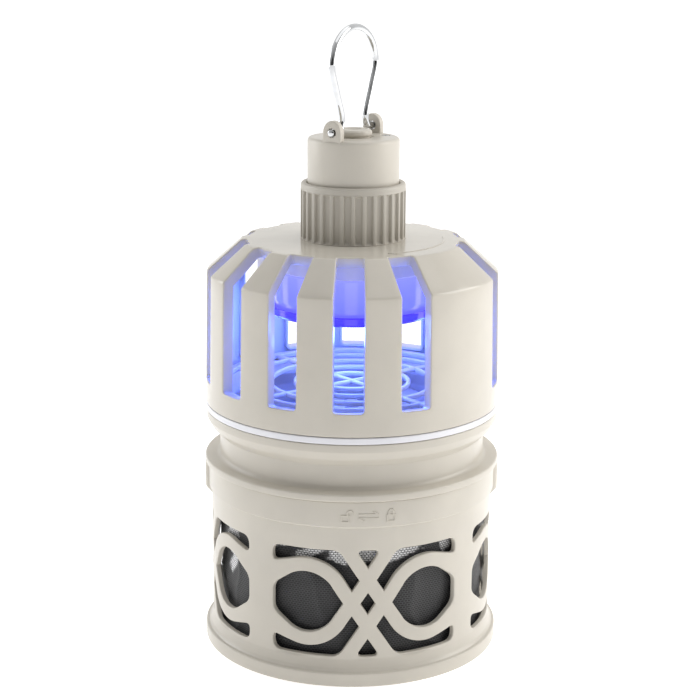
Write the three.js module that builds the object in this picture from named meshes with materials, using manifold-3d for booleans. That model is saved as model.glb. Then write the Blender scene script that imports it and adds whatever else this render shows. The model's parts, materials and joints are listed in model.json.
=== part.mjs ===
// Hanging insect trap: a slotted cage with a blue lamp ring, a fan that draws insects down
// through a guard, and a twist-off basket with a net liner below it.
// Millimetres, +Z up, origin at the centre of the base. The front faces -Y.

import * as THREE from 'three';
import Module from 'manifold-3d';
import { mergeVertices } from 'three/addons/utils/BufferGeometryUtils.js';

const wasm = await Module();
wasm.setup();

// ---------------------------------------------------------------- driving dimensions

const GAP = 0.3; // clearance between two pieces that touch
const RUN_GAP = 0.5; // radial clearance of pieces that turn or slide in one another
const CUT = 1; // how far a cutter runs past the face it opens

const CAGE_SIDES = 56; // sides of the slotted cage, four to a slot
const FINE = 36; // sides of the other large round pieces
const MEDIUM = 20; // sides of the mid-sized round pieces
const COARSE = 10; // sides of the small round pieces
const SCREW_SIDES = 8; // sides of screws and their holes

// basket
const BASKET_HEIGHT = 96.6; // base to the top of the basket ring
const BASKET_RADIUS = 73.7; // outside of the lattice wall
const BASKET_WALL = 2.4;
const BASE_OVERHANG = 3.9; // base lip beyond the lattice wall
const BASE_LIP_HEIGHT = 7.2;
const BASE_FLARE_HEIGHT = 5.6; // concave flare between the lip and the wall
const FLARE_KNEE_OUT = 1.4; // middle point of the flare, beyond the lattice wall
const FLARE_KNEE_UP = 2.2; // and above the lip
const BASKET_RING_HEIGHT = 13.2; // plain ring above the lattice wall
const BASKET_RING_STEP = 1.4; // how far that ring stands out
const TRAY_THICKNESS = 2.6;
const TRAY_RECESS = 1.4; // tray underside above the base plane
const TRAY_LEDGE = 2.8; // ledge that the tray is pushed up against
const TRAY_FINGER_RADIUS = 11; // finger recess under the tray
const GRIP_WIDTH = 15; // thumb grips at both sides of the ring
const GRIP_DEPTH = 2.4;
const GRIP_HEIGHT = 14;
const GRIP_TAPER = 6;
const GRIP_AZIMUTHS = [90, -90];

// lattice windows
const PANEL_COUNT = 4;
const PANEL_AZIMUTH = 6.8; // first panel centre, from -Y towards +X
const POST_WIDTH = 15.8; // plain post between two panels
const WINDOW_SILL = 14.8; // window bottom above the base plane
const WINDOW_HEIGHT = 56.1;
const LOOP_RADIUS = 19.6; // centre line of the round loops
const LOOP_INSET = 18.5; // loop centre to the panel side
const BAND_WIDTH = 7.2;
const BAND_SLOPE = 56.5; // slant of the crossing bands, degrees from level
const LOOP_SIDES = 16;
const WINDOW_STEPS = 8; // flat stretches across one window

// net liner
const NET_GAP = 5.2; // liner wall inside the lattice wall
const NET_COLLAR = 7; // height of the liner's flared top below the hoop
const NET_WALL = 1;
const NET_CORNER = 3; // bevel between the liner's wall and floor
const HOOP_HEIGHT = 2.5;
const HOOP_WIDTH = 2.6;

// lower housing
const FLANGE_OVERHANG = 2.1; // flange beyond the basket ring
const FLANGE_THICKNESS = 3.8;
const NECK_HEIGHT = 12.6;
const NECK_RADIUS = 69.1;
const BOWL_HEIGHT = 12.5;
const BOWL_ROUND = 8; // radius of the bowl's turn from cone to wall
const NECK_FILLET = 3;
const HOUSING_WALL = 2.5;
const EDGE = 0.7; // bevel on exposed rims
const SPIGOT_DEPTH = 8.6; // spigot below the flange, inside the basket ring
const SPIGOT_RIM = 2; // height of the bayonet rim at the spigot's lower end
const BAYONET_COUNT = 3;
const BAYONET_WINDOW = 32; // open arc of the rim for each lug, degrees
const BAYONET_LUG = 8; // width of a lug, degrees
const BAYONET_REACH = 1.2;
const BAYONET_PLAY = 4; // free arc at each end of a lug's travel, degrees
const COLLAR_TURN = 60; // travel of the locking collar, degrees
const BASKET_TURN = 20; // travel of the basket, degrees

// cage
const CAGE_RADIUS = 75; // at the shoulder
const CAGE_DRAFT = 1.3; // how much wider the cage is at its foot
const CAGE_WALL = 2.8;
const BAND_HEIGHT = 3.3;
const CAGE_HEIGHT = 68.3; // foot to shoulder
const CHAMFER_HEIGHT = 15.8;
const CHAMFER_DEPTH = 17.8;
const ROOF_RISE = 0.5;
const ROOF_THICKNESS = 2.5;
const ROOF_SEAT_MARGIN = 2; // level seat round the collar
const CAGE_SPIGOT = 10.3; // spigot of the lower housing above the bowl
const SLOT_COUNT = 14;
const BLANK_SLOT = 2; // this one of the fourteen places is a plain panel
const SLOT_AZIMUTH = -1.2; // first slot, from -Y towards +X
const SLOT_WIDTH = 15.5;
const SLOT_TOP_WIDTH = 13.6; // width where the slot meets the roof
const SLOT_SILL = 11.9; // slot bottom above the cage foot
const SLOT_CORNER = 1.8;
const SLOT_NOTCH = 2.7; // how far a slot reaches into the roof rim

// fan guard
const GUARD_THICKNESS = 2.5;
const GUARD_RIM_WIDTH = 4.4;
const GUARD_RING_WIDTH = 2.2;
const GUARD_FIRST_RING = 16.4;
const GUARD_PITCH = 13.1;
const GUARD_SPOKES = 4;
const GUARD_SPOKE_AZIMUTH = 38; // from -Y towards +X
const GUARD_SPOKE_WIDTH = 3;
const GUARD_SCREW_COUNT = 4;
const GUARD_SCREW_AZIMUTH = 45;

// duct, motor and fan
const DUCT_WALL = 2;
const DUCT_FLANGE = 2; // height of the duct's top flange
const DUCT_LIP = 2.8; // inward lip that carries the motor mount
const DUCT_LIP_HEIGHT = 1.8;
const DUCT_FOOT_RISE = 2; // duct foot above the housing flange
const DUCT_LEDGE = 2; // housing ledge that carries the duct's flange
const MOUNT_HEIGHT = 4;
const MOUNT_RIM = 2.2;
const MOUNT_ARMS = 3;
const MOUNT_ARM_AZIMUTH = 30;
const MOUNT_ARM_WIDTH = 4.5;
const MOUNT_CUP_HEIGHT = 7.5;
const MOUNT_CUP_WALL = 1.4;
const MOTOR_RADIUS = 13.9;
const MOTOR_HEIGHT = 14.4;
const MOTOR_SHELL = 1.2;
const MOTOR_SCREW_CIRCLE = 9.5;
const BEARING_RADIUS = 3.1;
const BEARING_HEIGHT = 3;
const SHAFT_RADIUS = 1.5;
const MAGNET_RADIUS = 6.2;
const STATOR_BORE = 6.7;
const HUB_WALL = 1.8;
const HUB_HEIGHT = 13.5;
const HUB_EDGE = 1.2;
const HUB_CAP_RADIUS = 4.2;
const HUB_CAP_CROWN = 1.4;
const BLADE_COUNT = 7;
const BLADE_GAP = 2.4; // blade tip to the duct
const BLADE_CHORD = 21;
const BLADE_PITCH_ROOT = 42; // degrees from level at the hub
const BLADE_PITCH_TIP = 24;
const BLADE_NARROW = 0.62; // share of the chord at the hub
const BLADE_WIDEN = 0.5; // share that the chord gains towards the tip
const BLADE_THICKNESS = 1.7;
const SHAFT_ABOVE_HUB = 3.5;

// lamp ring under the roof
const LAMP_RADIUS = 42.6;
const LAMP_BORE = 23.2; // inner wall radius of the annular lamp
const LAMP_WALL = 1.8;
const LAMP_HOUSING_HEIGHT = 11;
const LAMP_LEDGE = 1.6; // step above the lamp board
const LAMP_SCREWS = 3;
const LAMP_SCREW_OFFSET = 3; // screws outside the middle of the lamp ring
const BLIND_SKIN = 1; // plastic left above a blind screw hole
const LENS_HEIGHT = 21.1;
const LENS_PLUG = 4; // lip of the lens inside the housing
const LENS_PLUG_WALL = 1.5;
const RIM_RADIUS = 44; // deep blue rim under the lens
const RIM_HEIGHT = 4.7;
const RIM_FLANGE = 1.6;
const RIM_SHELF = 6; // width of the rim's flange under the lens
const RIM_EDGE = 0.4;
const LED_RADIUS = 31.5;
const LED_COUNT = 12;
const LED_LENGTH = 3.5;
const LED_DEPTH = 2.8;
const LED_HEIGHT = 1.2;
const BOARD_THICKNESS = 1.6;
const CONTACT_AZIMUTH = 180; // spring block, at the back of the stem
const CONTACT_BLOCK_HEIGHT = 7;
const CONTACT_BLOCK_SPREAD = 24; // degrees
const CONTACT_SPACING = 12; // between the two strips, degrees
const CONTACT_SPREAD = 8; // width of one strip, degrees
const CONTACT_THICKNESS = 0.5;

// lead channel
const LEAD_CHANNEL_DEPTH = 5;
const LEAD_CHANNEL_WIDTH = 8;

// removable head: stem, cap, collar, bail
const STEM_RADIUS = 17.8;
const STEM_WALL = 1.6;
const STEM_BELOW_ROOF = 23;
const STEM_ABOVE_COLLAR = 14;
const STEM_FLANGE = 0.9; // height of the stem flange seen between collar and cap
const STEM_FLANGE_INSET = 0.9; // that flange inside the cap's wall
const STEM_SHOULDER = 2.2; // raised shoulder that centres the cap
const SEAL_THICKNESS = 1.4;
const RIB_THICKNESS = 1.4; // board guides inside the stem
const RIB_LENGTH = 4.6;
const BOARD_MARGIN = 3.6; // board edge to the stem wall
const BOARD_END_GAP = 4;
const TRANSFORMER_WIDTH = 13;
const TRANSFORMER_DEPTH = 10;
const TRANSFORMER_HEIGHT = 14;
const TRANSFORMER_DROP = 4; // transformer foot below the roof
const CAPACITOR_RADIUS = 4;
const CAPACITOR_HEIGHT = 14;
const CAPACITOR_DROP = 6; // capacitor foot below the roof
const BULB_RADIUS = 13;
const BULB_DROP = 19; // bulb below the stem
const SOCKET_HEIGHT = 8;
const SOCKET_INSET = 0.5; // socket above the stem's lower end
const BULB_STEPS = 6;
const COLLAR_RADIUS = 27;
const COLLAR_HEIGHT = 26.4;
const COLLAR_RIBS = 30;
const COLLAR_GROOVE = 1.4;
const COLLAR_RIDGE_HALF = 0.18; // half of a ridge's crest, as a share of the rib pitch
const COLLAR_FLANK = 0.12; // width of a ridge's flank, likewise
const COLLAR_SHELL = 2; // wall behind the grooves
const COLLAR_FLOOR = 2.4;
const COLLAR_PLAIN_TOP = 4.2; // plain bevelled ring above the ribs
const COLLAR_BEVEL = 1.1;
const COLLAR_STEP = 0.2; // plain ring inside the ridge crests
const COLLAR_SPIGOT = 5.4; // collar spigot below the roof surface
const COLLAR_SPIGOT_WALL = 1.9;
const COLLAR_LUG_HEIGHT = 2;
const COLLAR_LUG = 10; // degrees
const CAP_RADIUS = 23.45;
const CAP_HEIGHT = 23.6;
const CAP_WALL = 2.15;
const CAP_EDGE = 2; // rounding of the cap's top edge
const CAP_BOSS_RADIUS = 3;
const CAP_BOSS_HOLE = 7; // depth of the screw hole in the boss
const GLAND_RADIUS = 9.3;
const GLAND_HEIGHT = 3.9;
const GLAND_SPIGOT = 6.2;
const GLAND_TAIL = 2; // spigot below the inside of the cap
const GLAND_LIP = 0.9; // how far the gland's upper lip stands out
const GLAND_LIP_HEIGHT = 1.4;
const GLAND_DISH = 3.4; // width of the dished mouth
const GLAND_DISH_DEPTH = 1.2;
const CORD_RADIUS = 3.3; // bore for a supply cord
const CAP_SCREW_AZIMUTH = 109; // from -Y towards +X
const CAP_SCREW_RADIUS = 17.3;
const CAP_SCREW_RECESS = 1.2;
const CAP_SCREW_HEAD = 0.8;
const CAP_SCREW_REACH = 5; // thread inside the boss
const BAIL_AZIMUTH = 61; // hinge line, from +X
const BAIL_WIRE = 1.75;
const BAIL_HINGE_HEIGHT = 3.9; // hinge line above the cap
const BAIL_REACH = 50.7; // hinge line to the top of the loop
const BAIL_HALF_WIDTH = 22.4;
const BAIL_CROWN = 18.6; // height of the loop's elliptical crown
const BAIL_THROAT = 12.2; // half the distance between the arms at the cap
const BAIL_FOOT = 0.8; // how far a foot stands out of its ear
const BAIL_BEND = 5.6; // height of the bend between foot and arm
const BAIL_SIDES = 8;
const BAIL_STEPS = 36;
const BAIL_CROWN_POINTS = 5;
const EAR_WIDTH = 10.2;
const EAR_THICKNESS = 4;
const EAR_INSET = 0.75; // ear's outer face inside the cap wall
const EAR_TOP = 6; // ear top above the hinge line

// screws
const SCREW_SHANK = 1;
const SCREW_HOLE = 1.3;
const SCREW_HEAD = 2.2;
const SCREW_HEAD_HEIGHT = 1.5;

// ---------------------------------------------------------------- heights and radii that follow

const baseRadius = BASKET_RADIUS + BASE_OVERHANG;
const basketRingRadius = BASKET_RADIUS + BASKET_RING_STEP;
const basketInner = BASKET_RADIUS - BASKET_WALL;
const basketRingInner = basketRingRadius - BASKET_WALL - GAP;
const basketRingFoot = BASKET_HEIGHT - BASKET_RING_HEIGHT;

const flangeZ = BASKET_HEIGHT + GAP;
const flangeRadius = basketRingRadius + FLANGE_OVERHANG - GAP;
const neckZ = flangeZ + FLANGE_THICKNESS;
const bowlZ = neckZ + NECK_HEIGHT;
const bowlTopZ = bowlZ + BOWL_HEIGHT;
const bandZ = bowlTopZ + GAP;
const cageZ = bandZ + BAND_HEIGHT + GAP;
const shoulderZ = cageZ + CAGE_HEIGHT;
const roofEdgeZ = shoulderZ + CHAMFER_HEIGHT;
const roofZ = roofEdgeZ + ROOF_RISE;
const roofUnderZ = roofZ - ROOF_THICKNESS - ROOF_RISE;

const cageFootRadius = CAGE_RADIUS + CAGE_DRAFT;
const cageFootInner = cageFootRadius - CAGE_WALL;
const roofEdgeRadius = CAGE_RADIUS - CHAMFER_DEPTH;
const bowlRadius = cageFootRadius - GAP;
const housingSpigotRadius = cageFootInner - GAP;
const housingSpigotTop = bowlTopZ + CAGE_SPIGOT;
const neckInner = NECK_RADIUS - HOUSING_WALL;
const lowerSpigotRadius = basketRingInner - BAYONET_REACH - RUN_GAP;
const lowerSpigotZ = flangeZ - SPIGOT_DEPTH;

const guardRimRadius = housingSpigotRadius - HOUSING_WALL - GAP;
const guardZ = housingSpigotTop + GAP;
const ductRadius = neckInner - GAP;
const ductInner = ductRadius - DUCT_WALL;
const ductFootZ = flangeZ + DUCT_FOOT_RISE;
const ductFlangeZ = housingSpigotTop - DUCT_FLANGE;

const mountZ = ductFootZ + DUCT_LIP_HEIGHT + GAP;
const mountRadius = ductInner - GAP;
const mountCupRadius = MOTOR_RADIUS + GAP + MOUNT_CUP_WALL;
const motorZ = mountZ + MOUNT_HEIGHT / 2 + GAP;
const motorTopZ = motorZ + MOTOR_HEIGHT;
const bearingHole = BEARING_RADIUS + GAP;
const hubZ = mountZ + MOUNT_CUP_HEIGHT + 2 * RUN_GAP;
const hubInner = MOTOR_RADIUS + 2 * RUN_GAP;
const hubRadius = hubInner + HUB_WALL;
const hubTopZ = Math.max(hubZ + HUB_HEIGHT, motorTopZ + 2 * RUN_GAP + HUB_WALL);
const shaftTopZ = hubTopZ + SHAFT_ABOVE_HUB;
const shaftHole = SHAFT_RADIUS + GAP;

const lampTopZ = roofUnderZ - GAP;
const lampHousingZ = lampTopZ - LAMP_HOUSING_HEIGHT;
const lensTopZ = lampHousingZ - GAP;
const lensZ = lensTopZ - LENS_HEIGHT;
const ledBoardZ = lensTopZ + LENS_PLUG + GAP;

const collarZ = roofZ + GAP;
const collarTopZ = collarZ + COLLAR_HEIGHT;
const collarBore = STEM_RADIUS + RUN_GAP;
const collarSpigotRadius = collarBore + COLLAR_SPIGOT_WALL;
const collarSpigotZ = roofZ - COLLAR_SPIGOT;
const collarLugRadius = LAMP_BORE - 2 * GAP;
const roofHole = collarSpigotRadius + RUN_GAP;
const roofWindowRadius = collarLugRadius + GAP;
const stemFlangeZ = collarTopZ + GAP;
const capZ = stemFlangeZ + STEM_FLANGE + GAP;
const capTopZ = capZ + CAP_HEIGHT;
const capInner = CAP_RADIUS - CAP_WALL;
const stemZ = roofZ - STEM_BELOW_ROOF;
const stemTopZ = capZ + STEM_ABOVE_COLLAR;
const stemInner = STEM_RADIUS - STEM_WALL;
const hingeZ = capTopZ + BAIL_HINGE_HEIGHT;

// ---------------------------------------------------------------- materials

const plastic = (name, color, roughness) => {
  const material = new THREE.MeshStandardMaterial({ color, roughness, metalness: 0 });
  material.name = name;
  return material;
};

const metal = (name, color, roughness) => {
  const material = new THREE.MeshStandardMaterial({ color, roughness, metalness: 1 });
  material.name = name;
  return material;
};

const cream = plastic('cream', 0xd9d0c0, 0.38);
const white = plastic('white', 0xe9e8ec, 0.3);
const black = plastic('black', 0x25262a, 0.55);
const lensBlue = plastic('lens_blue', 0x7086ff, 0.15);
const rimBlue = plastic('rim_blue', 0x3c32fa, 0.12);
const bulbViolet = plastic('bulb_violet', 0xa8a4ff, 0.15);
const boardGreen = plastic('board_green', 0x1f5a3a, 0.6);
const netGrey = plastic('net_grey', 0x3c3c3e, 0.9);
const rubber = plastic('rubber', 0x2c2c2e, 0.85);
const chrome = metal('chrome', 0xd8dade, 0.08);
const steel = metal('steel', 0x9c9fa4, 0.35);
const brass = metal('brass', 0xb58b42, 0.35);
const ferrite = plastic('ferrite', 0x3a3a3e, 0.7);
const copper = metal('copper', 0xb06a3a, 0.4);

// ---------------------------------------------------------------- solids

const radians = THREE.MathUtils.degToRad;

// A direction in plan, given as an azimuth from -Y towards +X, turned to an angle from +X.
const bearingAngle = (azimuth) => radians(azimuth - 90);

// Makes a manifold solid from a closed three.js geometry.
function solidOf(geometry) {
  const plain = geometry.clone();
  plain.deleteAttribute('normal');
  plain.deleteAttribute('uv');
  const merged = mergeVertices(plain, 1e-4);
  const index = merged.index.array;
  const triangles = [];
  for (let i = 0; i < index.length; i += 3) {
    const [a, b, c] = [index[i], index[i + 1], index[i + 2]];
    if (a !== b && b !== c && a !== c) triangles.push(a, b, c);
  }
  const vertProperties = new Float32Array(merged.attributes.position.array);
  const make = (triVerts) =>
    new wasm.Manifold(new wasm.Mesh({ numProp: 3, vertProperties, triVerts: new Uint32Array(triVerts) }));
  const solid = make(triangles);
  if (solid.volume() > 0) return solid;
  const flipped = [];
  for (let i = 0; i < triangles.length; i += 3) {
    flipped.push(triangles[i], triangles[i + 2], triangles[i + 1]);
  }
  return make(flipped);
}

// Turns a manifold solid back into a named mesh with flat faces.
function meshOf(name, solid, material) {
  const { vertProperties, triVerts } = solid.getMesh();
  const geometry = new THREE.BufferGeometry();
  geometry.setAttribute('position', new THREE.BufferAttribute(new Float32Array(vertProperties), 3));
  geometry.setIndex(new THREE.BufferAttribute(new Uint32Array(triVerts), 1));
  geometry.computeVertexNormals();
  const mesh = new THREE.Mesh(geometry, material);
  mesh.name = name;
  return mesh;
}

const joinAll = (solids) => solids.slice(1).reduce((sum, solid) => sum.add(solid), solids[0]);

// A closed ring or disc: [radius, height] points around its section, turned about Z.
function turned(section, sides = FINE) {
  const points = [...section, section[0]].map(([r, z]) => new THREE.Vector2(r, z));
  return solidOf(new THREE.LatheGeometry(points, sides).rotateX(Math.PI / 2));
}

// Points on an arc of a section, from one angle to another, in degrees from the outward radius.
function arc(r, z, radius, from, to, steps = 2) {
  return Array.from({ length: steps + 1 }, (_, i) => {
    const angle = radians(from + ((to - from) * i) / steps);
    return [r + radius * Math.cos(angle), z + radius * Math.sin(angle)];
  });
}

// A plain tube, or a disc when its inner radius is zero.
function tube(inner, outer, low, high, sides = FINE) {
  if (inner > 0) return turned([[inner, low], [outer, low], [outer, high], [inner, high]], sides);
  const height = high - low;
  const disc = new THREE.CylinderGeometry(outer, outer, height, sides).rotateX(Math.PI / 2);
  return solidOf(disc.translate(0, 0, low + height / 2));
}

// A small upright cylinder away from the axis.
function pin(radius, x, y, low, high, sides = SCREW_SIDES) {
  const height = high - low;
  const shape = new THREE.CylinderGeometry(radius, radius, height, sides).rotateX(Math.PI / 2);
  return solidOf(shape.translate(x, y, low + height / 2));
}

// An upright block: centred at [x, y], turned by an angle about its own upright axis.
function block(width, depth, low, high, x = 0, y = 0, angle = 0) {
  const shape = new THREE.BoxGeometry(width, depth, high - low).rotateZ(angle);
  return solidOf(shape.translate(x, y, (low + high) / 2));
}

// An outline of [radius, height] points, given a width across the radius and turned to an azimuth.
function radialPlate(outline, width, azimuth) {
  const shape = new THREE.Shape(outline.map(([r, z]) => new THREE.Vector2(r, z)));
  const plate = new THREE.ExtrudeGeometry(shape, { depth: width, bevelEnabled: false });
  plate.translate(0, 0, -width / 2).rotateX(Math.PI / 2);
  return solidOf(plate.rotateZ(bearingAngle(azimuth)));
}

// A wedge of a ring between two azimuths.
function sector(inner, outer, low, high, azimuth, spread, steps = 6) {
  const shape = new THREE.Shape();
  const start = bearingAngle(azimuth - spread / 2);
  for (let i = 0; i <= steps; i += 1) {
    const angle = start + (radians(spread) * i) / steps;
    shape[i === 0 ? 'moveTo' : 'lineTo'](outer * Math.cos(angle), outer * Math.sin(angle));
  }
  for (let i = steps; i >= 0; i -= 1) {
    const angle = start + (radians(spread) * i) / steps;
    shape.lineTo(inner * Math.cos(angle), inner * Math.sin(angle));
  }
  const wedge = new THREE.ExtrudeGeometry(shape, { depth: high - low, bevelEnabled: false });
  return solidOf(wedge.translate(0, 0, low));
}

const placesAround = (count, first = 0) =>
  Array.from({ length: count }, (_, i) => first + (360 * i) / count);

const pointAt = (radius, azimuth) => {
  const angle = bearingAngle(azimuth);
  return [radius * Math.cos(angle), radius * Math.sin(angle)];
};

// A screw with its head at the low end (headBelow) or the high end of its shank.
function screw(x, y, low, high, headBelow) {
  const shank = pin(SCREW_SHANK, x, y, low, high);
  const headLow = headBelow ? low - SCREW_HEAD_HEIGHT : high;
  return shank.add(pin(SCREW_HEAD, x, y, headLow, headLow + SCREW_HEAD_HEIGHT));
}

function screwsAround(count, radius, low, high, headBelow, first = 0) {
  return placesAround(count, first).map((azimuth) => {
    const [x, y] = pointAt(radius, azimuth);
    return screw(x, y, low, high, headBelow);
  });
}

function holesAround(count, radius, low, high, first = 0) {
  return joinAll(placesAround(count, first).map((azimuth) => {
    const [x, y] = pointAt(radius, azimuth);
    return pin(SCREW_HOLE, x, y, low - CUT, high + CUT);
  }));
}

// ---------------------------------------------------------------- basket

// Wraps a flat solid, drawn in [along, up] with its depth from 0 to 1, round the basket wall.
function wrapped(shape, azimuth) {
  const margin = BASKET_WALL * 2;
  const flat = new THREE.ExtrudeGeometry(shape, { depth: 1, bevelEnabled: false });
  const position = flat.attributes.position;
  for (let i = 0; i < position.count; i += 1) {
    const angle = bearingAngle(azimuth) + position.getX(i) / BASKET_RADIUS;
    const radius = basketInner - margin + position.getZ(i) * (BASKET_WALL + 2 * margin);
    position.setXYZ(i, radius * Math.cos(angle), radius * Math.sin(angle), position.getY(i));
  }
  return solidOf(flat);
}

const panelPitch = (2 * Math.PI * BASKET_RADIUS) / PANEL_COUNT;
const panelHalf = (panelPitch - POST_WIDTH) / 2;
const windowMiddle = WINDOW_SILL + WINDOW_HEIGHT / 2;
const loopOffset = panelHalf - LOOP_INSET;

function polygon(points) {
  return new THREE.Shape(points.map(([x, y]) => new THREE.Vector2(x, y)));
}

// One round loop of the lattice, left (-1) or right (+1) of the panel centre.
function loopShape(side) {
  const shape = new THREE.Shape();
  const [outer, inner] = [LOOP_RADIUS + BAND_WIDTH / 2, LOOP_RADIUS - BAND_WIDTH / 2];
  const ring = (target, radius) => {
    for (let i = 0; i < LOOP_SIDES; i += 1) {
      const angle = (2 * Math.PI * i) / LOOP_SIDES;
      const x = side * loopOffset + radius * Math.cos(angle);
      target[i === 0 ? 'moveTo' : 'lineTo'](x, windowMiddle + radius * Math.sin(angle));
    }
  };
  ring(shape, outer);
  const hole = new THREE.Path();
  ring(hole, inner);
  shape.holes.push(hole);
  return shape;
}

// A straight band from the window edge to its tangent point on the loop of the other side.
function bandShape(side, up) {
  const slope = radians(BAND_SLOPE);
  const [normalX, normalY] = [Math.sin(slope), Math.cos(slope)];
  const crossing = loopOffset - LOOP_RADIUS / normalX;
  const reach = WINDOW_HEIGHT / 2 + BAND_WIDTH / 2;
  const start = [crossing - reach / Math.tan(slope), reach];
  const end = [loopOffset - LOOP_RADIUS * normalX, -LOOP_RADIUS * normalY];
  const half = BAND_WIDTH / 2;
  const corner = ([x, y], sign) => [
    side * (x + sign * half * normalX),
    windowMiddle + up * (y + sign * half * normalY),
  ];
  return polygon([corner(start, -1), corner(end, -1), corner(end, 1), corner(start, 1)]);
}

// The four panels: plain windows, less the bands and loops that cross them.
function latticeCuts() {
  const margin = BASKET_WALL * 2;
  const windowTop = WINDOW_SILL + WINDOW_HEIGHT;
  const spread = (360 * 2 * panelHalf) / (2 * Math.PI * BASKET_RADIUS);
  return joinAll(placesAround(PANEL_COUNT, PANEL_AZIMUTH).map((azimuth) => {
    const [inner, outer] = [basketInner - margin / 2, BASKET_RADIUS + margin / 2];
    const opening = sector(inner, outer, WINDOW_SILL, windowTop, azimuth, spread, WINDOW_STEPS);
    const shapes = [loopShape(-1), loopShape(1)];
    [-1, 1].forEach((side) => [-1, 1].forEach((up) => shapes.push(bandShape(side, up))));
    return opening.subtract(joinAll(shapes.map((shape) => wrapped(shape, azimuth))));
  }));
}

function basketBody() {
  const lip = BASE_LIP_HEIGHT;
  const flareTop = lip + BASE_FLARE_HEIGHT;
  const ledgeZ = TRAY_RECESS + TRAY_THICKNESS + GAP;
  const section = [
    [basketInner + TRAY_LEDGE, 0],
    [baseRadius - EDGE, 0],
    [baseRadius, EDGE],
    [baseRadius, lip - EDGE],
    [baseRadius - EDGE, lip],
    [BASKET_RADIUS + FLARE_KNEE_OUT, lip + FLARE_KNEE_UP],
    [BASKET_RADIUS, flareTop],
    [BASKET_RADIUS, basketRingFoot],
    [basketRingRadius, basketRingFoot + BASKET_RING_STEP],
    [basketRingRadius, BASKET_HEIGHT],
    [basketRingInner, BASKET_HEIGHT],
    [basketRingInner, basketRingFoot],
    [basketInner, basketRingFoot],
    [basketInner, ledgeZ],
    [basketInner + TRAY_LEDGE, ledgeZ],
  ];
  const grip = [
    [basketRingRadius - BASKET_WALL / 2, BASKET_HEIGHT],
    [basketRingRadius + GRIP_DEPTH, BASKET_HEIGHT],
    [basketRingRadius + GRIP_DEPTH, BASKET_HEIGHT - GRIP_HEIGHT],
    [BASKET_RADIUS - BASKET_WALL / 2, BASKET_HEIGHT - GRIP_HEIGHT - GRIP_TAPER],
    [BASKET_RADIUS - BASKET_WALL / 2, basketRingFoot],
    [basketRingRadius - BASKET_WALL / 2, basketRingFoot + BASKET_RING_STEP],
  ];
  const grips = GRIP_AZIMUTHS.map((azimuth) => radialPlate(grip, GRIP_WIDTH, azimuth));
  const lugLow = lowerSpigotZ + GAP;
  const lugs = placesAround(BAYONET_COUNT).map((azimuth) => {
    const [inner, outer] = [basketRingInner - BAYONET_REACH, basketRingInner + BASKET_WALL / 2];
    return sector(inner, outer, lugLow, lugLow + SPIGOT_RIM, azimuth, BAYONET_LUG);
  });
  return joinAll([turned(section).subtract(latticeCuts()), ...grips, ...lugs]);
}

function baseTray() {
  const radius = basketInner + TRAY_LEDGE - GAP;
  const plate = tube(0, radius, TRAY_RECESS, TRAY_RECESS + TRAY_THICKNESS);
  const recess = pin(TRAY_FINGER_RADIUS, 0, 0, 0, TRAY_RECESS + TRAY_THICKNESS / 2, COARSE);
  return plate.subtract(recess);
}

const hoopZ = basketRingFoot + GAP;
const hoopRadius = basketRingInner - RUN_GAP;
const netRadius = basketInner - NET_GAP;

// The net hangs from the hoop as one soft cup that flares out to it, with a flat floor.
function netLiner() {
  const floorZ = TRAY_RECESS + TRAY_THICKNESS + 3 * GAP;
  const inner = netRadius - NET_WALL;
  const top = hoopZ - GAP;
  const mouth = basketInner - 2 * RUN_GAP;
  const mitre = NET_WALL * (Math.SQRT2 - 1);
  const section = [
    [0, floorZ],
    [netRadius - NET_CORNER, floorZ],
    [netRadius, floorZ + NET_CORNER],
    [netRadius, top - NET_COLLAR],
    [mouth, top - NET_COLLAR / 3],
    [mouth, top],
    [mouth - NET_WALL, top],
    [mouth - NET_WALL, top - NET_COLLAR / 3],
    [inner, top - NET_COLLAR],
    [inner, floorZ + NET_CORNER + mitre],
    [netRadius - NET_CORNER - mitre, floorZ + NET_WALL],
    [0, floorZ + NET_WALL],
  ];
  return turned(section);
}

function linerHoop() {
  return tube(hoopRadius - HOOP_WIDTH, hoopRadius, hoopZ, hoopZ + HOOP_HEIGHT);
}

// ---------------------------------------------------------------- lower housing and duct

function lowerHousing() {
  const roundZ = bowlZ + BOWL_ROUND;
  const ledgeZ = ductFlangeZ - GAP;
  const flangeTop = flangeZ + FLANGE_THICKNESS;
  const ledgeRadius = guardRimRadius - DUCT_LEDGE;
  const section = [
    [lowerSpigotRadius, lowerSpigotZ],
    [lowerSpigotRadius, flangeZ],
    [flangeRadius, flangeZ],
    [flangeRadius, flangeTop - EDGE],
    [flangeRadius - EDGE, flangeTop],
    ...arc(NECK_RADIUS + NECK_FILLET, flangeTop + NECK_FILLET, NECK_FILLET, 270, 180),
    [NECK_RADIUS, bowlZ],
    ...arc(bowlRadius - BOWL_ROUND, roundZ, BOWL_ROUND, -45, 0),
    [bowlRadius, bowlTopZ],
    [housingSpigotRadius, bowlTopZ],
    [housingSpigotRadius, housingSpigotTop],
    [guardRimRadius + GAP, housingSpigotTop],
    [guardRimRadius + GAP, ledgeZ],
    [ledgeRadius, ledgeZ],
    [ledgeRadius, roundZ],
    [neckInner, bowlZ],
    [neckInner, ductFootZ - GAP],
    [lowerSpigotRadius - HOUSING_WALL, flangeZ],
    [lowerSpigotRadius - HOUSING_WALL, lowerSpigotZ],
  ];
  const rimArc = 360 / BAYONET_COUNT - BAYONET_WINDOW;
  const opposite = 180 / BAYONET_COUNT + BASKET_TURN / 2;
  const rims = placesAround(BAYONET_COUNT, opposite).map((azimuth) => {
    const [inner, outer] = [lowerSpigotRadius - HOUSING_WALL / 2, lowerSpigotRadius + BAYONET_REACH];
    return sector(inner, outer, lowerSpigotZ, lowerSpigotZ + SPIGOT_RIM, azimuth, rimArc);
  });
  return joinAll([turned(section), ...rims]);
}

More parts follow.
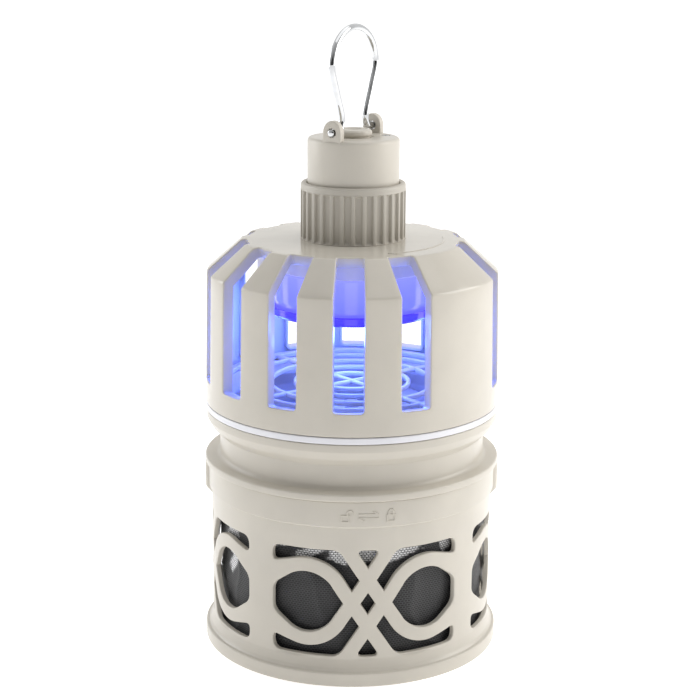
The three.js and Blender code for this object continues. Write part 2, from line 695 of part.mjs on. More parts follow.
function lightBand() {
  return tube(housingSpigotRadius + GAP, cageFootRadius, bandZ, bandZ + BAND_HEIGHT);
}

const guardScrewRadius = guardRimRadius - GUARD_RIM_WIDTH / 2;

const guardHoles = (low, high) =>
  holesAround(GUARD_SCREW_COUNT, guardScrewRadius, low, high, GUARD_SCREW_AZIMUTH);

function airDuct() {
  const section = [
    [ductInner - DUCT_LIP, ductFootZ],
    [ductRadius, ductFootZ],
    [ductRadius, ductFlangeZ],
    [guardRimRadius, ductFlangeZ],
    [guardRimRadius, housingSpigotTop],
    [ductInner, housingSpigotTop],
    [ductInner, ductFootZ + DUCT_LIP_HEIGHT],
    [ductInner - DUCT_LIP, ductFootZ + DUCT_LIP_HEIGHT],
  ];
  return turned(section).subtract(guardHoles(ductFlangeZ, housingSpigotTop));
}

function fanGuard() {
  const top = guardZ + GUARD_THICKNESS;
  const rim = tube(guardRimRadius - GUARD_RIM_WIDTH, guardRimRadius, guardZ, top);
  const rings = [];
  const last = guardRimRadius - GUARD_RIM_WIDTH - GUARD_RING_WIDTH * 2;
  for (let radius = GUARD_FIRST_RING; radius < last; radius += GUARD_PITCH) {
    const half = GUARD_RING_WIDTH / 2;
    rings.push(tube(radius - half, radius + half, guardZ, top, MEDIUM));
  }
  const spokeReach = guardRimRadius - GUARD_RIM_WIDTH / 2;
  const spokes = placesAround(GUARD_SPOKES / 2, 0).map((_, i) => {
    const angle = bearingAngle(GUARD_SPOKE_AZIMUTH + (360 * i) / GUARD_SPOKES);
    return block(2 * spokeReach, GUARD_SPOKE_WIDTH, guardZ, top, 0, 0, angle);
  });
  return joinAll([rim, ...rings, ...spokes]).subtract(guardHoles(guardZ, top));
}

function guardScrews() {
  const low = ductFlangeZ - GAP;
  const seat = guardZ + GUARD_THICKNESS + GAP;
  return screwsAround(GUARD_SCREW_COUNT, guardScrewRadius, low, seat, false, GUARD_SCREW_AZIMUTH);
}

// ---------------------------------------------------------------- motor and fan

function motorMount() {
  const rim = tube(mountRadius - MOUNT_RIM, mountRadius, mountZ, mountZ + MOUNT_HEIGHT);
  const floor = tube(bearingHole, mountCupRadius, mountZ, mountZ + MOUNT_HEIGHT / 2, MEDIUM);
  const cupInner = MOTOR_RADIUS + GAP;
  const cup = tube(cupInner, mountCupRadius, mountZ, mountZ + MOUNT_CUP_HEIGHT, MEDIUM);
  const arms = placesAround(MOUNT_ARMS, MOUNT_ARM_AZIMUTH).map((azimuth) => {
    const outline = [
      [cupInner + MOUNT_CUP_WALL / 2, mountZ],
      [mountRadius - MOUNT_RIM / 2, mountZ],
      [mountRadius - MOUNT_RIM / 2, mountZ + MOUNT_HEIGHT],
      [cupInner + MOUNT_CUP_WALL / 2, mountZ + MOUNT_HEIGHT],
    ];
    return radialPlate(outline, MOUNT_ARM_WIDTH, azimuth);
  });
  const holes = holesAround(MOUNT_ARMS, MOTOR_SCREW_CIRCLE, mountZ, mountZ + MOUNT_HEIGHT / 2);
  return joinAll([rim, floor, cup, ...arms]).subtract(holes);
}

function motorCan() {
  const inner = MOTOR_RADIUS - MOTOR_SHELL;
  const section = [
    [bearingHole, motorZ],
    [MOTOR_RADIUS, motorZ],
    [MOTOR_RADIUS, motorTopZ],
    [bearingHole, motorTopZ],
    [bearingHole, motorTopZ - MOTOR_SHELL],
    [inner, motorTopZ - MOTOR_SHELL],
    [inner, motorZ + MOTOR_SHELL],
    [bearingHole, motorZ + MOTOR_SHELL],
  ];
  const holes = holesAround(MOUNT_ARMS, MOTOR_SCREW_CIRCLE, motorZ, motorZ + MOTOR_SHELL);
  return turned(section, MEDIUM).subtract(holes);
}

const statorLow = motorZ + BEARING_HEIGHT;
const statorHigh = motorTopZ - BEARING_HEIGHT;

function motorStator() {
  return tube(STATOR_BORE, MOTOR_RADIUS - MOTOR_SHELL - GAP, statorLow, statorHigh, MEDIUM);
}

function motorBearings() {
  return [motorZ - GAP, motorTopZ + GAP - BEARING_HEIGHT].map((low) =>
    tube(shaftHole, BEARING_RADIUS, low, low + BEARING_HEIGHT, COARSE));
}

function motorMagnet() {
  return tube(shaftHole, MAGNET_RADIUS, statorLow + GAP, statorHigh - GAP, COARSE);
}

function motorShaft() {
  return tube(0, SHAFT_RADIUS, motorZ - GAP, shaftTopZ, COARSE);
}

function motorScrews() {
  const top = motorZ + MOTOR_SHELL;
  return screwsAround(MOUNT_ARMS, MOTOR_SCREW_CIRCLE, mountZ - GAP, top, true);
}

// One blade: a thin plate from hub to tip whose pitch eases off with the radius.
function fanBlade(azimuth) {
  const root = hubRadius - HUB_WALL / 2;
  const tip = ductInner - BLADE_GAP;
  const plate = new THREE.BoxGeometry(tip - root, BLADE_CHORD, BLADE_THICKNESS, 4, 1, 1);
  const position = plate.attributes.position;
  const low = hubZ + HUB_HEIGHT / 2;
  for (let i = 0; i < position.count; i += 1) {
    const share = position.getX(i) / (tip - root) + 0.5;
    const pitch = radians(BLADE_PITCH_ROOT + (BLADE_PITCH_TIP - BLADE_PITCH_ROOT) * share);
    const chord = position.getY(i) * (BLADE_NARROW + BLADE_WIDEN * share);
    const y = chord * Math.cos(pitch) - position.getZ(i) * Math.sin(pitch);
    const z = chord * Math.sin(pitch) + position.getZ(i) * Math.cos(pitch);
    position.setXYZ(i, root + share * (tip - root), y, low + z);
  }
  return solidOf(plate.rotateZ(bearingAngle(azimuth)));
}

function fanRotor() {
  const section = [
    [hubInner, hubZ],
    [hubRadius, hubZ],
    [hubRadius, hubTopZ - HUB_EDGE],
    [hubRadius - HUB_EDGE, hubTopZ],
    [shaftHole, hubTopZ],
    [shaftHole, hubTopZ - HUB_WALL],
    [hubInner, hubTopZ - HUB_WALL],
  ];
  const hub = turned(section, MEDIUM);
  const inside = tube(0, hubInner, hubZ - BLADE_CHORD, hubTopZ - HUB_WALL, MEDIUM);
  const blades = joinAll(placesAround(BLADE_COUNT).map(fanBlade)).subtract(inside);
  return hub.add(blades);
}

function hubCap() {
  const low = hubTopZ + GAP;
  const blind = shaftTopZ + GAP;
  const section = [
    [shaftHole, low],
    [HUB_CAP_RADIUS, low],
    [HUB_CAP_RADIUS, blind],
    [HUB_CAP_RADIUS - HUB_EDGE, blind + HUB_CAP_CROWN],
    [0, blind + HUB_CAP_CROWN],
    [0, blind],
    [shaftHole, blind],
  ];
  return turned(section, COARSE);
}

// ---------------------------------------------------------------- cage

// One slot: a tall opening with round lower corners that narrows towards the roof.
function slotCutter(azimuth) {
  const [half, topHalf] = [SLOT_WIDTH / 2, SLOT_TOP_WIDTH / 2];
  const low = cageZ + SLOT_SILL;
  const high = roofZ + CUT;
  const shape = new THREE.Shape();
  shape.moveTo(-half, low + SLOT_CORNER);
  shape.quadraticCurveTo(-half, low, -half + SLOT_CORNER, low);
  shape.lineTo(half - SLOT_CORNER, low);
  shape.quadraticCurveTo(half, low, half, low + SLOT_CORNER);
  shape.lineTo(half, shoulderZ);
  shape.lineTo(topHalf, high);
  shape.lineTo(-topHalf, high);
  shape.lineTo(-half, shoulderZ);
  const depth = cageFootRadius + CUT - (roofEdgeRadius - SLOT_NOTCH);
  const cutter = new THREE.ExtrudeGeometry(shape, { depth, bevelEnabled: false, curveSegments: 3 });
  cutter.rotateX(Math.PI / 2).translate(0, -(roofEdgeRadius - SLOT_NOTCH), 0);
  return solidOf(cutter.rotateZ(radians(azimuth)));
}

const lampScrewRadius = (LAMP_RADIUS + LAMP_BORE) / 2 + LAMP_SCREW_OFFSET;
const lampBlindZ = roofEdgeZ - BLIND_SKIN;

function upperCage() {
  const innerShoulder = CAGE_RADIUS - CAGE_WALL;
  const bend = Math.atan2(CHAMFER_DEPTH, CHAMFER_HEIGHT);
  const mitre = CAGE_WALL * Math.tan(bend / 2);
  const innerEdge = roofEdgeRadius - mitre;
  const section = [
    [roofHole, roofUnderZ],
    [innerEdge, roofUnderZ],
    [innerShoulder, shoulderZ - mitre],
    [cageFootInner, cageZ],
    [cageFootRadius, cageZ],
    [CAGE_RADIUS, shoulderZ],
    [roofEdgeRadius, roofEdgeZ],
    [COLLAR_RADIUS + ROOF_SEAT_MARGIN, roofZ],
    [roofHole, roofZ],
  ];
  const slots = placesAround(SLOT_COUNT, SLOT_AZIMUTH)
    .filter((_, i) => i !== BLANK_SLOT)
    .map(slotCutter);
  const spread = COLLAR_TURN + COLLAR_LUG + 2 * BAYONET_PLAY;
  const windows = placesAround(BAYONET_COUNT, COLLAR_TURN / 2).map((azimuth) =>
    sector(roofHole - CUT, roofWindowRadius, roofUnderZ - CUT, roofZ + CUT, azimuth, spread));
  const screwHoles = placesAround(LAMP_SCREWS).map((azimuth) => {
    const [x, y] = pointAt(lampScrewRadius, azimuth);
    return pin(SCREW_HOLE, x, y, roofUnderZ - CUT, lampBlindZ);
  });
  return turned(section, CAGE_SIDES).subtract(joinAll([...slots, ...windows, ...screwHoles]));
}

// The covered channel for the motor lead, behind the plain panel of the cage.
function leadChannel() {
  const azimuth = SLOT_AZIMUTH + (360 * BLANK_SLOT) / SLOT_COUNT;
  const [low, top] = [guardZ + GUARD_THICKNESS + GAP, roofUnderZ - GAP];
  const wall = CAGE_RADIUS - CAGE_WALL - 2 * GAP;
  const bendZ = shoulderZ - CAGE_WALL;
  const edge = roofEdgeRadius - CAGE_WALL - GAP;
  const bend = Math.atan2(wall - edge, top - bendZ);
  const depth = LEAD_CHANNEL_DEPTH;
  const outline = [
    [wall - depth, low],
    [wall, low],
    [wall, bendZ],
    [edge, top],
    [LAMP_RADIUS + GAP, top],
    [LAMP_RADIUS + GAP, top - depth],
    [edge - depth * Math.tan(Math.PI / 4 - bend / 2), top - depth],
    [wall - depth, bendZ - depth * Math.tan(bend / 2)],
  ];
  return radialPlate(outline, LEAD_CHANNEL_WIDTH, azimuth);
}

// ---------------------------------------------------------------- lamp ring

const boardRadius = LAMP_RADIUS - LAMP_WALL - 2 * GAP;
const boardBore = LAMP_BORE + LAMP_WALL + 2 * GAP;

function lampHousing() {
  const shoulder = ledBoardZ + BOARD_THICKNESS + GAP;
  const topPlate = lampTopZ - LAMP_WALL;
  const section = [
    [LAMP_BORE, lampHousingZ],
    [LAMP_BORE, lampTopZ],
    [LAMP_RADIUS, lampTopZ],
    [LAMP_RADIUS, lampHousingZ],
    [LAMP_RADIUS - LAMP_WALL, lampHousingZ],
    [LAMP_RADIUS - LAMP_WALL, shoulder],
    [LAMP_RADIUS - LAMP_WALL - LAMP_LEDGE, shoulder],
    [LAMP_RADIUS - LAMP_WALL - LAMP_LEDGE, topPlate],
    [LAMP_BORE + LAMP_WALL, topPlate],
    [LAMP_BORE + LAMP_WALL, lampHousingZ],
  ];
  return turned(section, MEDIUM).subtract(holesAround(LAMP_SCREWS, lampScrewRadius, topPlate, lampTopZ));
}

function lampScrews() {
  const low = lampTopZ - LAMP_WALL - GAP;
  return screwsAround(LAMP_SCREWS, lampScrewRadius, low, lampBlindZ - GAP, true);
}

function ledBoard() {
  const board = tube(boardBore, boardRadius, ledBoardZ, ledBoardZ + BOARD_THICKNESS, MEDIUM);
  const clearance = placesAround(LAMP_SCREWS).map((azimuth) => {
    const [x, y] = pointAt(lampScrewRadius, azimuth);
    return pin(SCREW_HEAD + RUN_GAP, x, y, ledBoardZ - CUT, ledBoardZ + BOARD_THICKNESS + CUT);
  });
  const leds = placesAround(LED_COUNT, 180 / LED_COUNT).map((azimuth) => {
    const [x, y] = pointAt(LED_RADIUS, azimuth);
    const [low, high] = [ledBoardZ - LED_HEIGHT, ledBoardZ + BOARD_THICKNESS / 2];
    return block(LED_LENGTH, LED_DEPTH, low, high, x, y, bearingAngle(azimuth));
  });
  return joinAll([board.subtract(joinAll(clearance)), ...leds]);
}

function lampLens() {
  const plugOuter = LAMP_RADIUS - LAMP_WALL - GAP;
  const plugInner = plugOuter - LENS_PLUG_WALL;
  const section = [
    [LAMP_BORE, lensZ],
    [LAMP_RADIUS, lensZ],
    [LAMP_RADIUS, lensTopZ],
    [plugOuter, lensTopZ],
    [plugOuter, lensTopZ + LENS_PLUG],
    [plugInner, lensTopZ + LENS_PLUG],
    [plugInner, lensZ + LAMP_WALL],
    [LAMP_BORE + LAMP_WALL, lensZ + LAMP_WALL],
    [LAMP_BORE + LAMP_WALL, lensTopZ],
    [LAMP_BORE, lensTopZ],
  ];
  return turned(section, MEDIUM);
}

function lensRim() {
  const flangeTop = lensZ - GAP;
  const low = flangeTop - RIM_FLANGE;
  const section = [
    [LAMP_RADIUS - RIM_SHELF, low],
    [RIM_RADIUS - RIM_EDGE, low],
    [RIM_RADIUS, low + RIM_EDGE],
    [RIM_RADIUS, low + RIM_HEIGHT],
    [LAMP_RADIUS + GAP, low + RIM_HEIGHT],
    [LAMP_RADIUS + GAP, flangeTop],
    [LAMP_RADIUS - RIM_SHELF, flangeTop],
  ];
  return turned(section, MEDIUM);
}

// Spring block inside the lamp ring that feeds it from the two strips on the stem.
function contactBlock() {
  const [inner, outer] = [STEM_RADIUS + 3 * RUN_GAP, LAMP_BORE - RUN_GAP];
  const top = lampHousingZ + CONTACT_BLOCK_HEIGHT;
  return sector(inner, outer, lampHousingZ, top, CONTACT_AZIMUTH, CONTACT_BLOCK_SPREAD, 3);
}

// ---------------------------------------------------------------- removable head

const boardWidth = 2 * (stemInner - BOARD_MARGIN);
const boardFace = BOARD_THICKNESS / 2 + GAP;
const socketZ = stemZ + SOCKET_INSET;
const boardZ = socketZ + SOCKET_HEIGHT + BOARD_END_GAP;

// Four ribs inside the stem hold the board by its edges, two to a side.
function boardRibs() {
  const x = boardWidth / 2 + RIB_THICKNESS;
  const y = boardFace + RIB_THICKNESS / 2;
  const corners = [[-x, -y], [x, -y], [-x, y], [x, y]];
  return corners.map(([ribX, ribY]) =>
    block(RIB_LENGTH, RIB_THICKNESS, boardZ - CUT, stemFlangeZ, ribX, ribY));
}

function stemBody() {
  const flangeTop = stemFlangeZ + STEM_FLANGE;
  const flangeRim = CAP_RADIUS - STEM_FLANGE_INSET;
  const shoulder = flangeTop + STEM_SHOULDER;
  const section = [
    [stemInner, stemZ],
    [STEM_RADIUS, stemZ],
    [STEM_RADIUS, stemFlangeZ],
    [flangeRim, stemFlangeZ],
    [flangeRim, flangeTop],
    [capInner - GAP, flangeTop],
    [capInner - GAP, shoulder],
    [STEM_RADIUS, shoulder],
    [STEM_RADIUS, stemTopZ],
    [stemInner, stemTopZ],
  ];
  const [x, y] = pointAt(CAP_SCREW_RADIUS, CAP_SCREW_AZIMUTH);
  const bossTop = capTopZ - CAP_WALL - 2 * GAP;
  const boss = pin(CAP_BOSS_RADIUS, x, y, shoulder + SEAL_THICKNESS + 2 * GAP, bossTop, COARSE);
  const bossHole = pin(SCREW_HOLE, x, y, bossTop - CAP_BOSS_HOLE, bossTop + CUT);
  return joinAll([turned(section, MEDIUM), boss, ...boardRibs()]).subtract(bossHole);
}

function capSeal() {
  const low = stemFlangeZ + STEM_FLANGE + STEM_SHOULDER + GAP;
  return tube(STEM_RADIUS + GAP, capInner - GAP, low, low + SEAL_THICKNESS, MEDIUM);
}

function driverBoard() {
  return block(boardWidth, BOARD_THICKNESS, boardZ, stemFlangeZ - BOARD_END_GAP);
}

function transformer() {
  const foot = roofZ - TRANSFORMER_DROP;
  const y = -(boardFace + TRANSFORMER_DEPTH / 2);
  return block(TRANSFORMER_WIDTH, TRANSFORMER_DEPTH, foot, foot + TRANSFORMER_HEIGHT, 0, y);
}

function capacitor() {
  const foot = roofZ - CAPACITOR_DROP;
  const y = boardFace + CAPACITOR_RADIUS;
  return pin(CAPACITOR_RADIUS, 0, y, foot, foot + CAPACITOR_HEIGHT, COARSE);
}

function lampSocket() {
  return tube(0, stemInner - GAP, socketZ, socketZ + SOCKET_HEIGHT, MEDIUM);
}

function uvBulb() {
  const top = socketZ - GAP;
  const nose = arc(0, top - BULB_DROP + BULB_RADIUS, BULB_RADIUS, -90, 0, BULB_STEPS);
  return turned([[BULB_RADIUS, top], [0, top], ...nose], COARSE);
}

function stemContacts() {
  const inner = STEM_RADIUS + GAP;
  const [low, high] = [socketZ, collarSpigotZ - BOARD_END_GAP];
  return [-1, 1].map((side) => {
    const azimuth = CONTACT_AZIMUTH + (side * CONTACT_SPACING) / 2;
    return sector(inner, inner + CONTACT_THICKNESS, low, high, azimuth, CONTACT_SPREAD, 3);
  });
}

function topCap() {
  const inTop = capTopZ - CAP_WALL;
  const section = [
    [GLAND_SPIGOT + GAP, inTop],
    [capInner, inTop],
    [capInner, capZ],
    [CAP_RADIUS, capZ],
    ...arc(CAP_RADIUS - CAP_EDGE, capTopZ - CAP_EDGE, CAP_EDGE, 0, 90),
    [GLAND_SPIGOT + GAP, capTopZ],
  ];
  const ears = [-1, 1].map(ear);
  const [x, y] = pointAt(CAP_SCREW_RADIUS, CAP_SCREW_AZIMUTH);
  const screwHole = pin(SCREW_HOLE, x, y, inTop - CUT, capTopZ + CUT);
  const counterbore = pin(SCREW_HEAD + GAP, x, y, capTopZ - CAP_SCREW_RECESS, capTopZ + CUT, COARSE);
  return joinAll([turned(section, MEDIUM), ...ears]).subtract(joinAll([screwHole, counterbore]));
}

// One ear of the bail, at the near (-1) or far (+1) end of the hinge line.
function ear(side) {
  const half = EAR_WIDTH / 2;
  const foot = capTopZ - CAP_WALL / 2;
  const crown = hingeZ + EAR_TOP - half;
  const shape = new THREE.Shape();
  shape.moveTo(-half, foot);
  shape.lineTo(half, foot);
  shape.lineTo(half, crown);
  shape.absarc(0, crown, half, 0, Math.PI, false);
  const hole = new THREE.Path();
  hole.absarc(0, hingeZ, BAIL_WIRE + RUN_GAP, 0, 2 * Math.PI, true);
  shape.holes.push(hole);
  const outer = CAP_RADIUS - EAR_INSET;
  const solid = new THREE.ExtrudeGeometry(shape, {
    depth: EAR_THICKNESS, bevelEnabled: false, curveSegments: 8,
  });
  solid.rotateX(Math.PI / 2).translate(0, outer, 0);
  const turn = radians(BAIL_AZIMUTH) - Math.PI / 2 + (side < 0 ? Math.PI : 0);
  return solidOf(solid.rotateZ(turn));
}

function capScrew() {
  const [x, y] = pointAt(CAP_SCREW_RADIUS, CAP_SCREW_AZIMUTH);
  const seat = capTopZ - CAP_SCREW_RECESS + GAP;
  const foot = capTopZ - CAP_WALL - 2 * GAP - CAP_SCREW_REACH;
  const head = pin(SCREW_HEAD, x, y, seat, seat + CAP_SCREW_HEAD);
  return pin(SCREW_SHANK, x, y, foot, seat).add(head);
}

function cordGland() {
  const [seat, top] = [capTopZ + GAP, capTopZ + GLAND_HEIGHT];
  const tail = capTopZ - CAP_WALL - GLAND_TAIL;
  const waist = GLAND_RADIUS - GLAND_LIP;
  const section = [
    [CORD_RADIUS, tail],
    [GLAND_SPIGOT, tail],
    [GLAND_SPIGOT, seat],
    [waist, seat],
    [waist, top - GLAND_LIP_HEIGHT],
    [GLAND_RADIUS, top - GLAND_LIP_HEIGHT + RIM_EDGE],
    [GLAND_RADIUS, top],
    [GLAND_RADIUS - GLAND_LIP_HEIGHT, top],
    [GLAND_RADIUS - GLAND_DISH, top - GLAND_DISH_DEPTH],
    [CORD_RADIUS, top - GLAND_DISH_DEPTH],
  ];
  return turned(section, MEDIUM);
}

// The outline of the collar's ridges and grooves, one set of corners for each ridge.
function ribOutline() {
  const groove = COLLAR_RADIUS - COLLAR_GROOVE;
  const foot = COLLAR_RIDGE_HALF + COLLAR_FLANK;
  const corners = [
    [-COLLAR_RIDGE_HALF, COLLAR_RADIUS],
    [COLLAR_RIDGE_HALF, COLLAR_RADIUS],
    [foot, groove],
    [1 - foot, groove],
  ];
  const pitch = (2 * Math.PI) / COLLAR_RIBS;
  return polygon(placesAround(COLLAR_RIBS).flatMap((_, i) => corners.map(([share, radius]) => {
    const angle = (i + share) * pitch;
    return [radius * Math.cos(angle), radius * Math.sin(angle)];
  })));
}

// The collar: a ribbed hollow ring with a bevelled ring above it and a lugged spigot below.
function collarBody() {
  const ribTop = collarTopZ - COLLAR_PLAIN_TOP;
  const height = ribTop - collarZ;
  const ribbed = new THREE.ExtrudeGeometry(ribOutline(), { depth: height, bevelEnabled: false });
  const body = solidOf(ribbed.translate(0, 0, collarZ));
  const plain = COLLAR_RADIUS - COLLAR_STEP;
  const top = turned([
    [collarBore, ribTop - COLLAR_STEP],
    [plain, ribTop - COLLAR_STEP],
    [plain, collarTopZ - COLLAR_BEVEL],
    [plain - COLLAR_BEVEL, collarTopZ],
    [collarBore, collarTopZ],
  ], MEDIUM);
  const hollow = COLLAR_RADIUS - COLLAR_GROOVE - COLLAR_SHELL;
  const bore = tube(0, collarBore, collarZ - CUT, collarTopZ + CUT, MEDIUM);
  const cavity = tube(0, hollow, collarZ + COLLAR_FLOOR, ribTop - COLLAR_SHELL, MEDIUM);
  const spigot = tube(collarBore, collarSpigotRadius, collarSpigotZ, collarZ + CUT, MEDIUM);
  const [lugInner, lugTop] = [collarSpigotRadius - CUT, collarSpigotZ + COLLAR_LUG_HEIGHT];
  const lugs = placesAround(BAYONET_COUNT).map((azimuth) =>
    sector(lugInner, collarLugRadius, collarSpigotZ, lugTop, azimuth, COLLAR_LUG, 2));
  return joinAll([body.subtract(cavity).add(top).subtract(bore), spigot, ...lugs]);
}

// Half of the bail's centre line: [distance from the middle, height above the hinge line].
function bailHalf() {
  const outer = CAP_RADIUS - EAR_INSET;
  const crownZ = BAIL_REACH - BAIL_CROWN;
  const half = [
    [outer + BAIL_FOOT, 0],
    [outer - EAR_THICKNESS, 0],
    [BAIL_THROAT + BAIL_WIRE, BAIL_WIRE / 2],
    [BAIL_THROAT, BAIL_BEND],
    [(BAIL_THROAT + BAIL_HALF_WIDTH) / 2, (BAIL_BEND + crownZ) / 2],
  ];
  for (let i = 0; i < BAIL_CROWN_POINTS; i += 1) {
    const angle = (Math.PI / 2) * (i / BAIL_CROWN_POINTS);
    half.push([BAIL_HALF_WIDTH * Math.cos(angle), crownZ + BAIL_CROWN * Math.sin(angle)]);
  }
  return half;
}

// The bail: a pear-shaped wire loop whose feet turn outwards through the ears.
function bailWire() {
  const half = bailHalf();
  const mirrored = half.map(([along, up]) => [-along, up]).reverse();
  const points = [...half, [0, BAIL_REACH], ...mirrored];
  const centre = points.map(([along, up]) => new THREE.Vector3(along, 0, up));
  const path = new THREE.CatmullRomCurve3(centre, false, 'centripetal');
  const section = polygon(placesAround(BAIL_SIDES).map((place) => {
    const angle = radians(place);
    return [BAIL_WIRE * Math.cos(angle), BAIL_WIRE * Math.sin(angle)];
  }));
  const wire = new THREE.ExtrudeGeometry(section, { steps: BAIL_STEPS, extrudePath: path });
  return solidOf(wire.rotateZ(radians(BAIL_AZIMUTH)).translate(0, 0, hingeZ));
}

// ---------------------------------------------------------------- assembly

const trap = new THREE.Group();
trap.name = 'insect_trap';

// Adds one mesh for each copy of a repeated piece, numbered from 1.
function addCopies(group, name, solids, material) {
  solids.forEach((solid, i) => group.add(meshOf(`${name}_${i + 1}`, solid, material)));
}

const basket = new THREE.Group();
basket.add(meshOf('basket', basketBody(), cream));
basket.add(meshOf('base_tray', baseTray(), cream));
basket.add(meshOf('net_liner', netLiner(), netGrey));
basket.add(meshOf('liner_hoop', linerHoop(), black));

const housing = new THREE.Group();
housing.add(meshOf('lower_housing', lowerHousing(), cream));
housing.add(meshOf('light_band', lightBand(), white));
housing.add(meshOf('upper_cage', upperCage(), cream));
housing.add(meshOf('air_duct', airDuct(), cream));
housing.add(meshOf('fan_guard', fanGuard(), cream));
addCopies(housing, 'guard_screw', guardScrews(), steel);
housing.add(meshOf('lead_channel', leadChannel(), cream));

const motor = new THREE.Group();
motor.add(meshOf('motor_mount', motorMount(), black));
motor.add(meshOf('motor_can', motorCan(), steel));
motor.add(meshOf('motor_stator', motorStator(), copper));
addCopies(motor, 'motor_bearing', motorBearings(), brass);
addCopies(motor, 'motor_screw', motorScrews(), steel);
motor.add(meshOf('motor_magnet', motorMagnet(), ferrite));
motor.add(meshOf('motor_shaft', motorShaft(), steel));
motor.add(meshOf('fan_rotor', fanRotor(), black));
motor.add(meshOf('hub_cap', hubCap(), black));

const lamp = new THREE.Group();
lamp.add(meshOf('lamp_housing', lampHousing(), cream));
addCopies(lamp, 'lamp_screw', lampScrews(), steel);
lamp.add(meshOf('led_board', ledBoard(), boardGreen));
lamp.add(meshOf('lamp_lens', lampLens(), lensBlue));
lamp.add(meshOf('lens_rim', lensRim(), rimBlue));
lamp.add(meshOf('contact_block', contactBlock(), brass));

const head = new THREE.Group();
head.add(meshOf('stem', stemBody(), cream));
head.add(meshOf('cap_seal', capSeal(), rubber));
head.add(meshOf('driver_board', driverBoard(), boardGreen));
head.add(meshOf('transformer', transformer(), ferrite));
head.add(meshOf('capacitor', capacitor(), black));
head.add(meshOf('lamp_socket', lampSocket(), white));
head.add(meshOf('uv_bulb', uvBulb(), bulbViolet));
addCopies(head, 'stem_contact', stemContacts(), brass);
head.add(meshOf('top_cap', topCap(), cream));
head.add(meshOf('cap_screw', capScrew(), steel));
head.add(meshOf('cord_gland', cordGland(), cream));
head.add(meshOf('collar', collarBody(), cream));
head.add(meshOf('bail', bailWire(), chrome));

trap.add(basket, housing, motor, lamp, head);

export default trap;
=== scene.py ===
"""Looks of a hanging insect trap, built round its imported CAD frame.

Shapes are worked out in millimetres and written to Blender in metres, +Z up, front towards -Y.
Azimuths are in degrees from the front (-Y) towards +X.
"""
import json
import math

import bmesh
import bpy
import numpy as np
from mathutils import Matrix, Vector, geometry, noise

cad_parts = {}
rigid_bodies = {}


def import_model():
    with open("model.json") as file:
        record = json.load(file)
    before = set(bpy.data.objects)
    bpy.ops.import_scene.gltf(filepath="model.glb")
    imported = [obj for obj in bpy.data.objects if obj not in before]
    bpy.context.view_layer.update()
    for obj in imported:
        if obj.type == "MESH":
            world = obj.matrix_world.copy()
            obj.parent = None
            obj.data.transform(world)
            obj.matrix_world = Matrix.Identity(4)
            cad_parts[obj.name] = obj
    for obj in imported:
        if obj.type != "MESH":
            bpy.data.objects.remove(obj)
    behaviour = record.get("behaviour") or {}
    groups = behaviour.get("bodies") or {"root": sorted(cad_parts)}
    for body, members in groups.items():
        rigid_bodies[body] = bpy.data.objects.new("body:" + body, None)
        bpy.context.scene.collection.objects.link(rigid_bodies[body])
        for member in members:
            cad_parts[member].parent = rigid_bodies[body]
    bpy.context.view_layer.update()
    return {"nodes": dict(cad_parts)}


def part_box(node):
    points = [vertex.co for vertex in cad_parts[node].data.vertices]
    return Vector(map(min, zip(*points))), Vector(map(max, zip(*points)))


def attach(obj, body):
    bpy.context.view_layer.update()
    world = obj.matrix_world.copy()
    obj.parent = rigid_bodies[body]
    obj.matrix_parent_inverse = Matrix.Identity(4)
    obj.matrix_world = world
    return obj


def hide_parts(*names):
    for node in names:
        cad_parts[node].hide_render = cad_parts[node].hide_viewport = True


for leftover in list(bpy.data.objects):
    bpy.data.objects.remove(leftover)

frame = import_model()

MM = 0.001
FINE_SEGMENTS = 192
MID_SEGMENTS = 96
SMALL_SEGMENTS = 32
SHARP = math.radians(32)
FILLET_STEP = math.radians(12)
SOFT_CORNER = 0.25

# Sizes from the frame


def low(node):
    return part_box(node)[0].z / MM


def high(node):
    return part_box(node)[1].z / MM


def radius(node):
    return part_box(node)[1].x / MM


def span_of(node):
    """The lowest and highest level of a node, and its radius."""
    return low(node), high(node), radius(node)


def centre(node):
    lowest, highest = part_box(node)
    return (lowest + highest) / 2 / MM


# Profiles


def arc_points(centre_point, size, start, end, steps):
    """Points on a circle in a plane, from one angle to another in radians."""
    turns = [start + (end - start) * i / steps for i in range(steps + 1)]
    return [(centre_point[0] + size * math.cos(t), centre_point[1] + size * math.sin(t)) for t in turns]


def fillet(before, corner, after, size):
    """The points that replace a corner with an arc of that radius."""
    a = Vector(before[:2]) - Vector(corner[:2])
    b = Vector(after[:2]) - Vector(corner[:2])
    if size <= 0 or a.length < 1e-6 or b.length < 1e-6:
        return [tuple(corner[:2])]
    between = a.angle(b)
    turn = math.pi - between
    if turn < math.radians(2):
        return [tuple(corner[:2])]
    reach = min(size / math.tan(between / 2), a.length * 0.49, b.length * 0.49)
    true_size = reach * math.tan(between / 2)
    start = Vector(corner[:2]) + a.normalized() * reach
    end = Vector(corner[:2]) + b.normalized() * reach
    middle = Vector(corner[:2]) + (a.normalized() + b.normalized()).normalized() * (
        true_size / math.sin(between / 2))
    first = math.atan2(start.y - middle.y, start.x - middle.x)
    last = math.atan2(end.y - middle.y, end.x - middle.x)
    sweep = (last - first + math.pi) % (2 * math.pi) - math.pi
    steps = max(2, math.ceil(abs(sweep) / FILLET_STEP))
    return arc_points(middle, true_size, first, first + sweep, steps)


def rounded(corners, closed=True, default=SOFT_CORNER):
    """Rounds a chain of corners, each (x, y) or (x, y, fillet radius)."""
    points = []
    count = len(corners)
    for i, corner in enumerate(corners):
        size = corner[2] if len(corner) > 2 else default
        if not closed and i in (0, count - 1):
            points.append(tuple(corner[:2]))
            continue
        points += fillet(corners[i - 1], corner, corners[(i + 1) % count], size)
    return points


